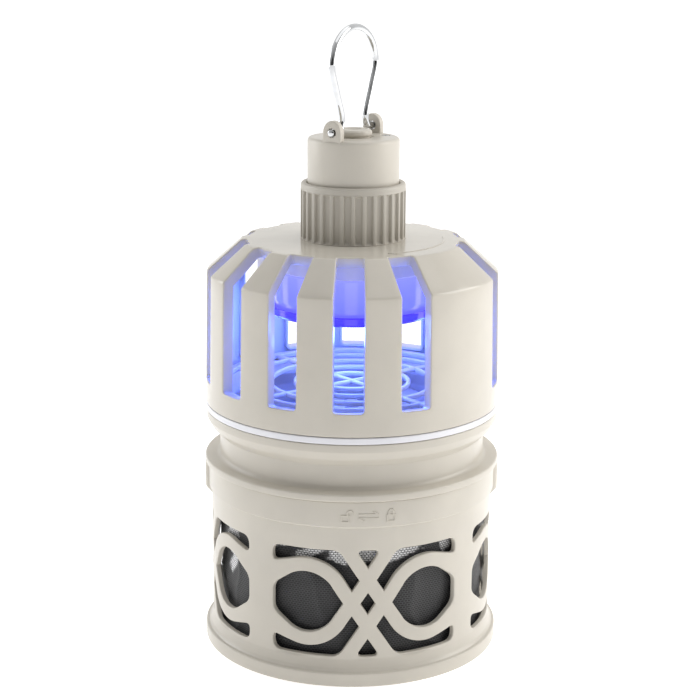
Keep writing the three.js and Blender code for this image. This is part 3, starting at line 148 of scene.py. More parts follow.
def lengths(points):
    """Distance of each point along a chain."""
    along = [0.0]
    for a, b in zip(points, points[1:]):
        along.append(along[-1] + math.dist(a, b))
    return along


def stepped(points, spacing):
    """A chain with extra points, so that none are further apart than a spacing."""
    made = [points[0]]
    for a, b in zip(points, points[1:]):
        count = max(1, math.ceil(math.dist(a, b) / spacing))
        for i in range(1, count + 1):
            made.append((a[0] + (b[0] - a[0]) * i / count, a[1] + (b[1] - a[1]) * i / count))
    return made


def at_share(points, along, share):
    """The point at a share of a chain's length."""
    target = share * along[-1]
    for i in range(len(points) - 1):
        if target <= along[i + 1] + 1e-9:
            part = (target - along[i]) / max(along[i + 1] - along[i], 1e-9)
            a, b = points[i], points[i + 1]
            return (a[0] + (b[0] - a[0]) * part, a[1] + (b[1] - a[1]) * part)
    return points[-1]


def paired(outer, inner):
    """Pairs two chains point by point, keeping the corners of both."""
    a, b = lengths(outer), lengths(inner)
    shares = sorted({round(x / a[-1], 6) for x in a} | {round(x / b[-1], 6) for x in b})
    kept = [shares[0]]
    for share in shares[1:]:
        if share - kept[-1] > 1e-4:
            kept.append(share)
    kept[-1] = 1.0
    return [(at_share(outer, a, t), at_share(inner, b, t)) for t in kept]


# Meshes


def as_object(bm, name, material=None):
    """Puts a bmesh into the scene as an object, and frees it."""
    mesh = bpy.data.meshes.new(name)
    bm.to_mesh(mesh)
    bm.free()
    if material:
        mesh.materials.append(material)
    made = bpy.data.objects.new(name, mesh)
    bpy.context.scene.collection.objects.link(made)
    return made


def smooth(mesh):
    mesh.polygons.foreach_set("use_smooth", [True] * len(mesh.polygons))


def new_piece(bm, name, material, body, nodes, sharp=SHARP):
    """Turns a bmesh in millimetres into a finished piece that rides on a body."""
    bmesh.ops.remove_doubles(bm, verts=bm.verts, dist=1e-4)
    bmesh.ops.recalc_face_normals(bm, faces=bm.faces)
    bmesh.ops.scale(bm, vec=(MM, MM, MM), verts=bm.verts)
    piece = as_object(bm, name, material)
    smooth(piece.data)
    piece.data.set_sharp_from_angle(angle=sharp)
    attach(piece, body)
    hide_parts(*nodes)
    return piece


def add_rings(bm, rings, close=True):
    """Joins rings of points, each a list of 3-D points, with quads."""
    grid = [[bm.verts.new(p) for p in ring] for ring in rings]
    pairs = list(zip(grid, grid[1:])) + ([(grid[-1], grid[0])] if close else [])
    count = len(grid[0])
    for a, b in pairs:
        for j in range(count):
            k = (j + 1) % count
            corners = [a[j], a[k], b[k], b[j]]
            unique = []
            for v in corners:
                if all((v.co - u.co).length > 1e-6 for u in unique):
                    unique.append(v)
            if len(unique) > 2:
                bm.faces.new(unique)
    return grid


def add_solid(bm, rings):
    """Joins rings of points with quads, and closes both ends."""
    verts = add_rings(bm, rings, close=False)
    bm.faces.new(verts[0][::-1])
    bm.faces.new(verts[-1])


def add_lathe(bm, points, segments=FINE_SEGMENTS, middle=(0, 0)):
    """Turns a closed chain of (radius, height) points about an upright axis."""
    turns = [2 * math.pi * j / segments for j in range(segments)]
    add_rings(bm, [[(middle[0] + r * math.cos(t), middle[1] + r * math.sin(t), z) for t in turns]
                   for r, z in points])


def lathe(name, corners, material, body, nodes, segments=FINE_SEGMENTS):
    bm = bmesh.new()
    add_lathe(bm, rounded(corners), segments)
    return new_piece(bm, name, material, body, nodes)


BAR_SIDES = 16


def add_bar(bm, start, end, width, height, power=3.0):
    """A level bar with a softly rounded section between two points."""
    start, end = Vector(start), Vector(end)
    along = (end - start).normalized()
    across = Vector((-along.y, along.x, 0))
    rings = []
    for point, scale in ((start, 0.0), (start, 1.0), (end, 1.0), (end, 0.0)):
        ring = []
        for j in range(BAR_SIDES):
            t = 2 * math.pi * j / BAR_SIDES
            c, s = math.cos(t), math.sin(t)
            x = math.copysign(abs(c) ** (2 / power), c) * width / 2 * scale
            z = math.copysign(abs(s) ** (2 / power), s) * height / 2 * scale
            ring.append(point + across * x + Vector((0, 0, z)))
        rings.append(ring)
    add_rings(bm, rings, close=False)


def around(r, turn, z):
    """The point at a radius and height, turned from the front in radians."""
    return (r * math.sin(turn), -r * math.cos(turn), z)


def turned_by(point, azimuth):
    """A point drawn at the front, turned to an azimuth."""
    return Matrix.Rotation(math.radians(azimuth), 3, "Z") @ Vector(point)


def polar(size, azimuth, z=0.0):
    return turned_by((0, -size, z), azimuth)


# Pierced shells


class Wall:
    """A shell of revolution: stations pair an outer point with an inner one, each (radius, height).

    A place on it is (along, up, depth): along is an arc in millimetres at the reference radius,
    up is the length along the outer profile, and depth is 0 outside and 1 inside.
    """

    def __init__(self, stations, reference):
        self.stations = stations
        self.reference = reference
        self.up = lengths([outer for outer, _ in stations])

    def section(self, up, depth):
        i = int(np.searchsorted(self.up, up, side="right")) - 1
        i = max(0, min(i, len(self.up) - 2))
        part = (up - self.up[i]) / max(self.up[i + 1] - self.up[i], 1e-9)
        (o1, n1), (o2, n2) = self.stations[i], self.stations[i + 1]
        outer = (o1[0] + (o2[0] - o1[0]) * part, o1[1] + (o2[1] - o1[1]) * part)
        inner = (n1[0] + (n2[0] - n1[0]) * part, n1[1] + (n2[1] - n1[1]) * part)
        return (outer[0] + (inner[0] - outer[0]) * depth, outer[1] + (inner[1] - outer[1]) * depth)

    def place(self, along, up, depth, azimuth=0.0):
        r, z = self.section(up, depth)
        t = along / self.reference + math.radians(azimuth)
        return around(r, t, z)

    def up_of(self, height):
        """The up value where the outer profile first rises through a height."""
        for i in range(len(self.up) - 1):
            a, b = self.stations[i][0][1], self.stations[i + 1][0][1]
            if a <= height < b:
                return self.up[i] + (self.up[i + 1] - self.up[i]) * (height - a) / (b - a)
        raise ValueError("the profile never gets there")

    def up_at(self, wanted):
        """The up value where the outer profile first satisfies a test on (radius, height)."""
        for i, (outer, _) in enumerate(self.stations):
            if wanted(outer):
                return self.up[i]
        raise ValueError("the profile never gets there")


def within(points, outlines):
    """Which points lie inside any of some closed outlines that don't overlap."""
    x, y = np.array(points, float).reshape(-1, 2).T
    result = np.zeros(len(x), bool)
    for outline in outlines:
        for (x1, y1), (x2, y2) in zip(outline, outline[1:] + outline[:1]):
            if y1 != y2:
                result ^= ((y1 > y) != (y2 > y)) & (x < (x2 - x1) * (y - y1) / (y2 - y1) + x1)
    return result


def triangulated(half, rows, columns, holes, clear):
    """Splits a rectangle less its holes into triangles, with every row kept as a line of edges."""
    points, edges = [], []
    seen = {}

    def add(p):
        key = (round(p[0], 5), round(p[1], 5))
        if key not in seen:
            seen[key] = len(points)
            points.append(Vector(p))
        return seen[key]

    for outline in holes:
        ring = [add(p) for p in outline]
        edges += list(zip(ring, ring[1:] + ring[:1]))
    rim = np.array([p for h in holes for p in h]).reshape(-1, 2)
    grid = [(x, up) for up in rows for x in columns]
    blocked = within(grid, holes)
    links, middles = [], []
    kept = {up: [] for up in rows}
    for (x, up), stop in zip(grid, blocked):
        near = len(rim) and abs(x) < half and np.hypot(rim[:, 0] - x, rim[:, 1] - up).min() < clear
        if not stop and not near:
            kept[up].append((x, up))
    for up in rows:
        chain = sorted(set(kept[up] + [p for h in holes for p in h if abs(p[1] - up) < 1e-6]))
        ids = [add(p) for p in chain]
        for a, b, p, q in zip(ids, ids[1:], chain, chain[1:]):
            if a != b:
                links.append((a, b))
                middles.append(((p[0] + q[0]) / 2, up))
    edges += [link for link, stop in zip(links, within(middles, holes)) if not stop]
    for side in (-half, half):
        ids = [add((side, up)) for up in rows]
        edges += list(zip(ids, ids[1:]))
    coords, _, faces, _, _, _ = geometry.delaunay_2d_cdt(points, edges, [], 0, 1e-6)
    coords = [tuple(c) for c in coords]
    middles = [(sum(coords[i][0] for i in f) / 3, sum(coords[i][1] for i in f) / 3) for f in faces]
    return coords, [f for f, stop in zip(faces, within(middles, holes)) if not stop]


def sheets_of(wall, half, columns, rings, clear=0.5):
    """The outer and inner sheets of a sector. Each ring holds one hole's outlines, face to face."""
    return [triangulated(half, wall.up, columns, [ring[pick][0] for ring in rings], clear)
            for pick in (0, -1)]


def add_sector(bm, wall, azimuth, sheets, rings):
    """One sector of a pierced shell: its two sheets and the walls of its holes."""
    for depth, (coords, faces) in enumerate(sheets):
        verts = [bm.verts.new(wall.place(x, y, depth, azimuth)) for x, y in coords]
        for face in faces:
            corners = [verts[i] for i in face]
            if len({v.co.to_tuple(4) for v in corners}) == 3:
                bm.faces.new(corners[::-1] if depth else corners)
    for ring in rings:
        chains = [[wall.place(x, y, depth, azimuth) for x, y in outline] for outline, depth in ring]
        add_rings(bm, chains, close=False)


# Materials


def node(tree, kind, **inputs):
    """Adds a shader node; keyword names are its properties or, with spaces as _, its inputs."""
    made = tree.nodes.new(kind)
    for key, value in inputs.items():
        name = key.replace("_", " ")
        if name in made.inputs:
            made.inputs[name].default_value = value
        else:
            setattr(made, key, value)
    return made


def shader(name, colour, roughness, **sockets):
    """A material and its Principled shader."""
    material = bpy.data.materials.new(name)
    material.use_nodes = True
    tree = material.node_tree
    bsdf = tree.nodes["Principled BSDF"]
    bsdf.inputs["Base Color"].default_value = (*colour, 1)
    bsdf.inputs["Roughness"].default_value = roughness
    for key, value in sockets.items():
        bsdf.inputs[key.replace("_", " ")].default_value = value
    return material, tree, bsdf


def coordinates(tree, scale=(1, 1, 1)):
    """Object coordinates in millimetres, which keep to the piece as it moves."""
    source = node(tree, "ShaderNodeTexCoord")
    mapping = node(tree, "ShaderNodeMapping", Scale=tuple(s / MM for s in scale))
    tree.links.new(source.outputs["Object"], mapping.inputs["Vector"])
    return mapping.outputs["Vector"]


def noise_of(tree, vector, scale, detail):
    made = node(tree, "ShaderNodeTexNoise", Scale=scale, Detail=detail)
    tree.links.new(vector, made.inputs["Vector"])
    return made.outputs["Fac"]


def ramp_of(tree, factor, stops):
    made = node(tree, "ShaderNodeValToRGB")
    elements = made.color_ramp.elements
    while len(elements) < len(stops):
        elements.new(0.5)
    for element, (place, colour) in zip(elements, stops):
        element.position = place
        element.color = (*colour, 1)
    tree.links.new(factor, made.inputs["Fac"])
    return made.outputs["Color"]


def spread_of(tree, factor, lowest, highest):
    made = node(tree, "ShaderNodeMapRange", To_Min=lowest, To_Max=highest)
    made.inputs["From Min"].default_value = 0.3
    made.inputs["From Max"].default_value = 0.7
    tree.links.new(factor, made.inputs["Value"])
    return made.outputs["Result"]


def bump_of(tree, bsdf, heights, distances):
    """Chains bumps; each height field has its depth in millimetres."""
    normal = None
    for height, distance in zip(heights, distances):
        made = node(tree, "ShaderNodeBump", Strength=1.0, Distance=distance * MM)
        tree.links.new(height, made.inputs["Height"])
        if normal is not None:
            tree.links.new(normal, made.inputs["Normal"])
        normal = made.outputs["Normal"]
    tree.links.new(normal, bsdf.inputs["Normal"])


def scaled(colour, factor):
    return tuple(min(1.0, c * factor) for c in colour)


MOTTLE = 0.03
SHEEN_CHANGE = 0.06


def moulded(name, colour, roughness, grain=0.0012):
    """Moulded plastic: faint flow mottling, fine grain, and an uneven sheen."""
    material, tree, bsdf = shader(name, colour, roughness)
    vector = coordinates(tree)
    mottle = noise_of(tree, vector, 0.045, 4)
    stops = [(0.32, scaled(colour, 1 - MOTTLE)), (0.68, scaled(colour, 1 + MOTTLE))]
    tree.links.new(ramp_of(tree, mottle, stops), bsdf.inputs["Base Color"])
    sheen = noise_of(tree, vector, 0.1, 1)
    tree.links.new(spread_of(tree, sheen, roughness * (1 - SHEEN_CHANGE), roughness * (1 + SHEEN_CHANGE)),
                   bsdf.inputs["Roughness"])
    bump_of(tree, bsdf, [noise_of(tree, vector, 1.4, 2), noise_of(tree, vector, 0.03, 1)], [grain, grain * 8])
    return material


CREAM = (0.6, 0.563, 0.494)
cream = moulded("cream_plastic", CREAM, 0.3)
cream_gloss = moulded("cream_gloss_plastic", CREAM, 0.16, grain=0.001)
cream_dull = moulded("cream_grip_plastic", scaled(CREAM, 0.84), 0.42)
white_band = moulded("white_band_plastic", (0.82, 0.82, 0.86), 0.22)
black = moulded("black_plastic", (0.02, 0.021, 0.024), 0.45, grain=0.01)


def glowing(name, colour, glow, strength, bands, roughness=0.12):
    """Plastic that glows, with its light banded by height: the lens, rim and bulb are lit from inside, and on
    the lamp housing the glow is painted lamp light.
    """
    material, tree, bsdf = shader(name, colour, roughness, Coat_Weight=0.6, Coat_Roughness=0.05)
    vector = coordinates(tree)
    split = node(tree, "ShaderNodeSeparateXYZ")
    tree.links.new(vector, split.inputs["Vector"])
    span = node(tree, "ShaderNodeMapRange", From_Min=bands[0], From_Max=bands[1])
    tree.links.new(split.outputs["Z"], span.inputs["Value"])
    tree.links.new(ramp_of(tree, span.outputs["Result"], glow), bsdf.inputs["Emission Color"])
    bsdf.inputs["Emission Strength"].default_value = strength
    mottle = noise_of(tree, vector, 0.2, 3)
    stops = [(0.3, scaled(colour, 0.9)), (0.7, colour)]
    tree.links.new(ramp_of(tree, mottle, stops), bsdf.inputs["Base Color"])
    bump_of(tree, bsdf, [noise_of(tree, vector, 0.25, 2)], [0.02])
    return material


def metal(name, colour, roughness, streak=(1, 1, 1), grain=0.002):
    material, tree, bsdf = shader(name, colour, roughness, Metallic=1.0)
    vector = coordinates(tree, streak)
    wear = noise_of(tree, vector, 0.6, 5)
    tree.links.new(spread_of(tree, wear, roughness * 0.7, roughness * 1.4), bsdf.inputs["Roughness"])
    stops = [(0.3, scaled(colour, 0.88)), (0.7, colour)]
    tree.links.new(ramp_of(tree, noise_of(tree, vector, 0.2, 4), stops), bsdf.inputs["Base Color"])
    bump_of(tree, bsdf, [noise_of(tree, vector, 2.5, 2)], [grain])
    return material


LENS_LOW, LENS_HIGH = low("lamp_lens"), low("lamp_housing")
lens_glow = [(0.0, (0.13, 0.12, 1.0)), (0.4, (0.17, 0.17, 1.0)), (0.75, (0.22, 0.23, 0.85)),
             (1.0, (0.26, 0.27, 0.7))]
lens_blue = glowing("lens_blue_plastic", (0.1, 0.12, 0.45), lens_glow, 1.0, (LENS_LOW, LENS_HIGH))
# the lamp housing is cream plastic: its darker base colour is painted shade, and its emission is painted blue
# lamp light falling on it
lamp_glow = [(0.0, (0.26, 0.27, 0.72)), (1.0, (0.3, 0.31, 0.62))]
lamp_housing_painted_light = glowing("lamp_housing_painted_light_plastic", scaled(CREAM, 0.6), lamp_glow, 0.6,
                     (LENS_HIGH, high("lamp_housing")), 0.35)
rim_glow = [(0.0, (0.03, 0.012, 0.9)), (1.0, (0.05, 0.02, 0.95))]
rim_blue = glowing("rim_blue_plastic", (0.05, 0.03, 0.8), rim_glow, 1.0, (low("lens_rim"), high("lens_rim")))
bulb_glow = [(0.0, (0.35, 0.3, 1.0)), (1.0, (0.5, 0.45, 1.0))]
bulb_violet = glowing("bulb_violet_diffuser", (0.6, 0.58, 1.0), bulb_glow, 6.0,
                      (low("uv_bulb"), high("uv_bulb")))

chrome = metal("polished_chrome", (0.68, 0.69, 0.7), 0.05, grain=0.0002)
steel = metal("zinc_steel", (0.55, 0.56, 0.57), 0.32, (1, 1, 3))
brass = metal("contact_brass", (0.62, 0.43, 0.17), 0.3)
copper = metal("copper_winding", (0.6, 0.26, 0.12), 0.35, (0.2, 0.2, 4))
board = moulded("green_board", (0.02, 0.12, 0.05), 0.4)
ferrite = moulded("grey_ferrite", (0.06, 0.06, 0.065), 0.6, grain=0.02)
rubber = moulded("seal_rubber", (0.02, 0.02, 0.021), 0.7, grain=0.015)


def net_material():
    """Fine dark net: woven cells in staggered rows, and painted sheen in near-white patches on its creases
    near its top.
    """
    material, tree, bsdf = shader("fine_net_fabric", (0.05, 0.05, 0.053), 0.6, Sheen_Weight=0.12)
    source = node(tree, "ShaderNodeUVMap", uv_map="weave")
    brick = node(tree, "ShaderNodeTexBrick", Scale=1.0, Mortar_Size=0.2, Mortar_Smooth=0.6)
    brick.inputs["Color1"].default_value = (0, 0, 0, 1)
    brick.inputs["Color2"].default_value = (0.06, 0.06, 0.06, 1)
    brick.inputs["Mortar"].default_value = (1, 1, 1, 1)
    brick.inputs["Brick Width"].default_value = 1.7
    brick.inputs["Row Height"].default_value = 1.15
    tree.links.new(source.outputs["UV"], brick.inputs["Vector"])
    # painted sheen: near-white threads where the net's creases catch the light, mixed in by a point attribute
    painted_sheen_mask = node(tree, "ShaderNodeAttribute", attribute_name="painted_sheen")
    threads = ramp_of(tree, brick.outputs["Color"],
                      [(0.05, (0.012, 0.012, 0.013)), (0.7, (0.056, 0.056, 0.058))])
    painted_sheen = ramp_of(tree, brick.outputs["Color"], [(0.1, (0.95, 0.95, 0.96)), (0.6, (0.08, 0.08, 0.09))])
    mix = node(tree, "ShaderNodeMix", data_type="RGBA")
    tree.links.new(painted_sheen_mask.outputs["Fac"], mix.inputs["Factor"])
    tree.links.new(threads, mix.inputs[6])
    tree.links.new(painted_sheen, mix.inputs[7])
    tree.links.new(mix.outputs[2], bsdf.inputs["Base Color"])
    bump_of(tree, bsdf, [brick.outputs["Color"]], [0.12])
    return material


net_fabric = net_material()

# Basket

WALL_R = 73.7
WALL = 2.4
PANELS = 4
PANEL_AZIMUTH = 6.8
WINDOW = (14.8, 70.9)
POST = 15.8
LOOP_INSET = 18.5
LOOP_INNER = 16.0
LOOP_OUTER = 23.2
LOOP_FLAT_INNER = 5.3
LOOP_FLAT_OUTER = 18.7
BAND = 7.2
BAND_SLOPE = math.radians(56.5)
BAND_CROSSING = 8.1
HOLE_ROUND = 3.2
CORNER_ROUND = 5.0
EDGE_ROUND = 0.55
FIELD_STEP = 0.8
OUTLINE_SPACING = 1.1
SLIDE_TRIES = 4
RING_CLEARANCE = 0.3
LUG_REACH = 1.2

panel_half = math.pi * WALL_R / PANELS
window_half = panel_half - POST / 2
window_rise = (WINDOW[1] - WINDOW[0]) / 2
window_middle = (WINDOW[0] + WINDOW[1]) / 2
loop_at = window_half - LOOP_INSET


def hull(points):
    """Convex hull of points in a plane, turning left."""
    ordered = sorted(set(points))

    def chain(source):
        made = []
        for p in source:
            while len(made) > 1 and ((made[-1][0] - made[-2][0]) * (p[1] - made[-2][1])
                                     <= (made[-1][1] - made[-2][1]) * (p[0] - made[-2][0])):
                made.pop()
            made.append(p)
        return made[:-1]

    return chain(ordered) + chain(ordered[::-1])


def distance_to(x, y, outline):
    """Signed distance from points to a closed outline, below zero inside it."""
    best = np.full(x.shape, 1e9)
    inside = np.zeros(x.shape, bool)
    for (x1, y1), (x2, y2) in zip(outline, outline[1:] + outline[:1]):
        ex, ey = x2 - x1, y2 - y1
        t = np.clip(((x - x1) * ex + (y - y1) * ey) / (ex * ex + ey * ey + 1e-12), 0, 1)
        best = np.minimum(best, np.hypot(x - x1 - t * ex, y - y1 - t * ey))
        if abs(ey) > 1e-12:
            cross = (y1 > y) != (y2 > y)
            inside ^= cross & (x < ex * (y - y1) / ey + x1)
    return np.where(inside, -best, best)


def soft_max(a, b, size=HOLE_ROUND):
    h = np.clip(0.5 + 0.5 * (a - b) / size, 0, 1)
    return b + (a - b) * h + size * h * (1 - h)


def loop_hull(size, flat, tip):
    circle = arc_points((loop_at, 0), size, 0, 2 * math.pi, 120)
    return hull([(round(x, 6), round(y, 6)) for x, y in circle]
                + [(window_half + 2, flat), (window_half + 2, -flat)] + tip)


def slanted_band(sign):
    """A crossing band, from the far window edge to where it meets its loop."""
    direction = Vector((math.cos(BAND_SLOPE), sign * math.sin(BAND_SLOPE)))
    crossing = Vector((BAND_CROSSING, 0))
    start = crossing - direction * (BAND_CROSSING * 2.2 + window_rise / math.sin(BAND_SLOPE))
    end = crossing + direction * (loop_at - BAND_CROSSING) * math.cos(BAND_SLOPE)
    side = Vector((-direction.y, direction.x)) * BAND / 2
    return [tuple(start + side), tuple(start - side), tuple(end - side), tuple(end + side)]


def lattice_field():
    """Field over one panel that is below zero inside its holes."""
    tip = (BAND_CROSSING + BAND / 2 / math.sin(BAND_SLOPE), 0)
    outer = loop_hull(LOOP_OUTER, LOOP_FLAT_OUTER, [])
    inner = loop_hull(LOOP_INNER, LOOP_FLAT_INNER, [tip])
    bands = [slanted_band(1), slanted_band(-1)]

    def field(x, y):
        solid = np.full(np.shape(x), 1e9)
        for side in (1, -1):
            loop = np.maximum(distance_to(x * side, y, outer), -distance_to(x * side, y, inner))
            solid = np.minimum(solid, loop)
            for band in bands:
                solid = np.minimum(solid, distance_to(x * side, y, band))
        frame_gap = soft_max(np.abs(x) - window_half, np.abs(y) - window_rise, CORNER_ROUND)
        return soft_max(frame_gap, -solid)

    return field


def contours(field, level):
    """Closed outlines where a field crosses a level, by marching triangles."""
    xs = np.arange(-window_half - 3, window_half + 3 + FIELD_STEP, FIELD_STEP)
    ys = np.arange(-window_rise - 3, window_rise + 3 + FIELD_STEP, FIELD_STEP)
    gx, gy = np.meshgrid(xs, ys, indexing="ij")
    value = field(gx, gy) - level
    links = {}

    def crossing(a, b):
        va, vb = value[a], value[b]
        t = va / (va - vb)
        return (xs[a[0]] + (xs[b[0]] - xs[a[0]]) * t, ys[a[1]] + (ys[b[1]] - ys[a[1]]) * t)

    places = {}
    for i in range(len(xs) - 1):
        for j in range(len(ys) - 1):
            a, b, c, d = (i, j), (i + 1, j), (i + 1, j + 1), (i, j + 1)
            signs = [value[k] < 0 for k in (a, b, c, d)]
            if all(signs) or not any(signs):
                continue
            for tri in ((a, b, c), (a, c, d)):
                cut = [tuple(sorted(e)) for e in ((tri[0], tri[1]), (tri[1], tri[2]), (tri[2], tri[0]))
                       if (value[e[0]] < 0) != (value[e[1]] < 0)]
                if len(cut) == 2:
                    for e in cut:
                        places[e] = crossing(*e)
                    links.setdefault(cut[0], []).append(cut[1])
                    links.setdefault(cut[1], []).append(cut[0])
    loops = []
    while links:
        start = next(iter(links))
        chain, now, last = [start], start, None
        while True:
            following = [n for n in links[now] if n != last] or links[now]
            last, now = now, following[0]
            if now == start:
                break
            chain.append(now)
        for key in chain:
            links.pop(key, None)
        loops.append([places[key] for key in chain])
    return loops


def evened(loop, spacing):
    """Spreads an outline's points evenly, and turns it to the left."""
    closed = loop + loop[:1]
    along = lengths(closed)
    count = max(8, round(along[-1] / spacing))
    points = [at_share(closed, along, i / count) for i in range(count)]
    area = sum(a[0] * b[1] - b[0] * a[1] for a, b in zip(points, points[1:] + points[:1]))
    return points if area > 0 else points[::-1]


def moved_to(field, points, level):
    """Slides points along a field's slope until they lie on a level."""
    xy = np.array(points, float)
    h = 0.02
    for _ in range(SLIDE_TRIES):
        x, y = xy[:, 0], xy[:, 1]
        value = field(x, y) - level
        gx = (field(x + h, y) - field(x - h, y)) / (2 * h)
        gy = (field(x, y + h) - field(x, y - h)) / (2 * h)
        size = np.maximum(gx * gx + gy * gy, 0.3)
        xy[:, 0] -= value * gx / size
        xy[:, 1] -= value * gy / size
    return [tuple(p) for p in xy]


def edge_steps(size, steps=4):
    """Pairs of (offset, depth) for a rounded edge of that radius."""
    turns = [math.pi / 2 * i / steps for i in range(steps + 1)]
    return [(size * (1 - math.sin(t)), size * (1 - math.cos(t))) for t in turns]


def lattice_rings(wall):
    """For each hole of a panel: its outlines from the outer face to the inner one."""
    field = lattice_field()
    foot = wall.up_at(lambda p: p[1] > WINDOW[0] - 0.01 and abs(p[0] - WALL_R) < 0.01)
    result = []
    for loop in contours(field, EDGE_ROUND):
        base = moved_to(field, evened(loop, OUTLINE_SPACING), EDGE_ROUND)
        ring = []
        for offset, depth in edge_steps(EDGE_ROUND):
            outline = moved_to(field, base, offset)
            ring.append(([(x, y + window_middle - WINDOW[0] + foot) for x, y in outline], depth / WALL))
        outline = ring[-1][0]
        ring.append((outline, 1.0))
        result.append(ring)
    return result


BASE_R = radius("basket")
RING_R = WALL_R + 1.4
BASKET_TOP = high("basket")
RING_FOOT = low("liner_hoop") - 0.3
TRAY_SEAT = high("base_tray") + 0.3


def basket_wall():
    inner_r = WALL_R - WALL
    ring_inner = RING_R - WALL - RING_CLEARANCE
    seat = inner_r + 2.8
    foot_outer = rounded([(seat, 0), (BASE_R, 0, 0.9), (BASE_R, 7.3, 1.1), (BASE_R - 1.6, 7.5, 0.9),
                          (WALL_R + 1.2, 9.2, 3), (WALL_R, 13.4, 4), (WALL_R, WINDOW[0])], closed=False)
    foot_inner = rounded([(seat, 0), (seat, TRAY_SEAT), (inner_r, TRAY_SEAT), (inner_r, WINDOW[0])],
                         closed=False, default=0.2)
    wall = [((WALL_R, z), (inner_r, z)) for z in np.linspace(*WINDOW, 16)][1:]
    step_outer = rounded([(WALL_R, WINDOW[1]), (WALL_R, RING_FOOT - 0.6, 0.5), (RING_R, RING_FOOT + 0.2, 0.5),
                          (RING_R, BASKET_TOP, 0.9), (RING_R - 1.3, BASKET_TOP)], closed=False)
    step_inner = rounded([(inner_r, WINDOW[1]), (inner_r, RING_FOOT), (ring_inner, RING_FOOT),
                          (ring_inner, BASKET_TOP, 0.4), (RING_R - 1.3, BASKET_TOP)],
                         closed=False, default=0.2)
    return Wall(paired(foot_outer, foot_inner) + wall + paired(step_outer, step_inner)[1:], WALL_R)


GRIP_HALF = 7.2
GRIP_DROP = 20.6
GRIP_SUNK = 0.6
GRIP_RIB = 0.28
GRIP_RIB_PITCH = 3.6
GRIP_BACK = 1.2


def add_grip(bm, azimuth):
    """A thumb grip: a soft pad on the ring that tapers into the wall, with three ribs."""
    columns, rows = 24, 30
    top, foot = BASKET_TOP - 0.4, BASKET_TOP - GRIP_DROP
    half = GRIP_HALF
    root = WALL_R - GRIP_SUNK
    grid = []
    for i in range(rows + 1):
        z = foot + (top - foot) * i / rows
        rise = min(1.0, max(0.0, (z - foot) / 6.0))
        rise = rise * rise * (3 - 2 * rise)
        cap = min(1.0, (top - z) / 0.9 + 0.25)
        ring = []
        for j in range(columns + 1):
            x = -half + 2 * half * j / columns
            side = 1 - abs(x / half) ** 6
            rib = GRIP_RIB * (0.5 + 0.5 * math.cos(x * 2 * math.pi / GRIP_RIB_PITCH)) * rise
            swell = rise * side * math.sqrt(max(cap, 0))
            r = root + (BASE_R - 0.35 - WALL_R + GRIP_SUNK - GRIP_RIB + rib) * swell
            r = max(r, root + 0.55 * rise)
            t = math.radians(azimuth) + x / WALL_R
            ring.append(around(r, t, z))
        grid.append(ring)
    back = []
    for ring in grid:
        row = []
        for p in ring:
            size = math.hypot(p[0], p[1])
            row.append((p[0] * (WALL_R - GRIP_BACK) / size, p[1] * (WALL_R - GRIP_BACK) / size, p[2]))
        back.append(row)
    loops = [grid[i] + back[i][::-1] for i in range(len(grid))]
    verts = add_rings(bm, loops, close=False)
    for end in (verts[0], verts[-1]):
        count = len(end) // 2
        for j in range(count - 1):
            bm.faces.new([end[j], end[j + 1], end[-2 - j], end[-1 - j]])


MARKS_AZIMUTH = 6.5
MARKS_APART = 8.7
ARROW_AZIMUTH = 6.6
MARK_WIDTH = 0.8
MARK_RISE = 0.4


def add_raised_line(bm, points, wall_radius, azimuth, closed=False):
    """A raised line on an upright round wall; points are (along, height) in millimetres."""
    chain = points + (points[:1] if closed else [])
    for a, b in zip(chain, chain[1:]):
        direction = (Vector(b) - Vector(a)).normalized()
        side = Vector((-direction.y, direction.x)) * MARK_WIDTH / 2
        a2, b2 = Vector(a) - direction * MARK_WIDTH * 0.45, Vector(b) + direction * MARK_WIDTH * 0.45
        rings = []
        for scale, level in ((1.0, -0.3), (1.0, MARK_RISE * 0.55), (0.72, MARK_RISE)):
            ring = []
            for point in (a2 + side * scale, a2 - side * scale, b2 - side * scale, b2 + side * scale):
                t = math.radians(azimuth) + point.x / wall_radius
                r = wall_radius + level
                ring.append(around(r, t, point.y))
            rings.append(ring)
        add_solid(bm, rings)


def add_marks(bm):
    """Plain pictograms on the ring: an open padlock, a double arrow and a shut padlock."""
    body = [(-1.9, 86.4), (1.9, 86.4), (1.9, 89.6), (-1.9, 89.6)]
    shut = [(-1.2, 89.6), (-1.2, 91.4), (-0.6, 92.2), (0.6, 92.2), (1.2, 91.4), (1.2, 89.6)]
    open_bow = [(1.2, 89.6), (1.2, 91.4), (1.8, 92.2), (3.0, 92.2), (3.6, 91.4), (3.6, 90.6)]
    for at, bow in ((MARKS_AZIMUTH - MARKS_APART, open_bow), (MARKS_AZIMUTH + MARKS_APART, shut)):
        add_raised_line(bm, body, RING_R, at, closed=True)
        add_raised_line(bm, bow, RING_R, at)
    arrow = [[(-4.6, 90.3), (4.6, 90.3)], [(4.6, 90.3), (2.6, 91.6)], [(-4.6, 88.3), (4.6, 88.3)],
             [(-4.6, 88.3), (-2.6, 87.0)]]
    for line in arrow:
        add_raised_line(bm, line, RING_R, ARROW_AZIMUTH)


def add_lug(bm, inner, outer, bottom, top, azimuth, spread, steps=10):
    """A block of a ring between two azimuths."""
    rings = []
    for i in range(steps + 1):
        t = math.radians(azimuth - spread / 2 + spread * i / steps)
        rings.append([around(r, t, z)
                      for r, z in ((inner, bottom), (outer, bottom), (outer, top), (inner, top))])
    add_solid(bm, rings)


BAYONETS = 3
BAYONET_GAP = 32
BAYONET_AZIMUTH = 70


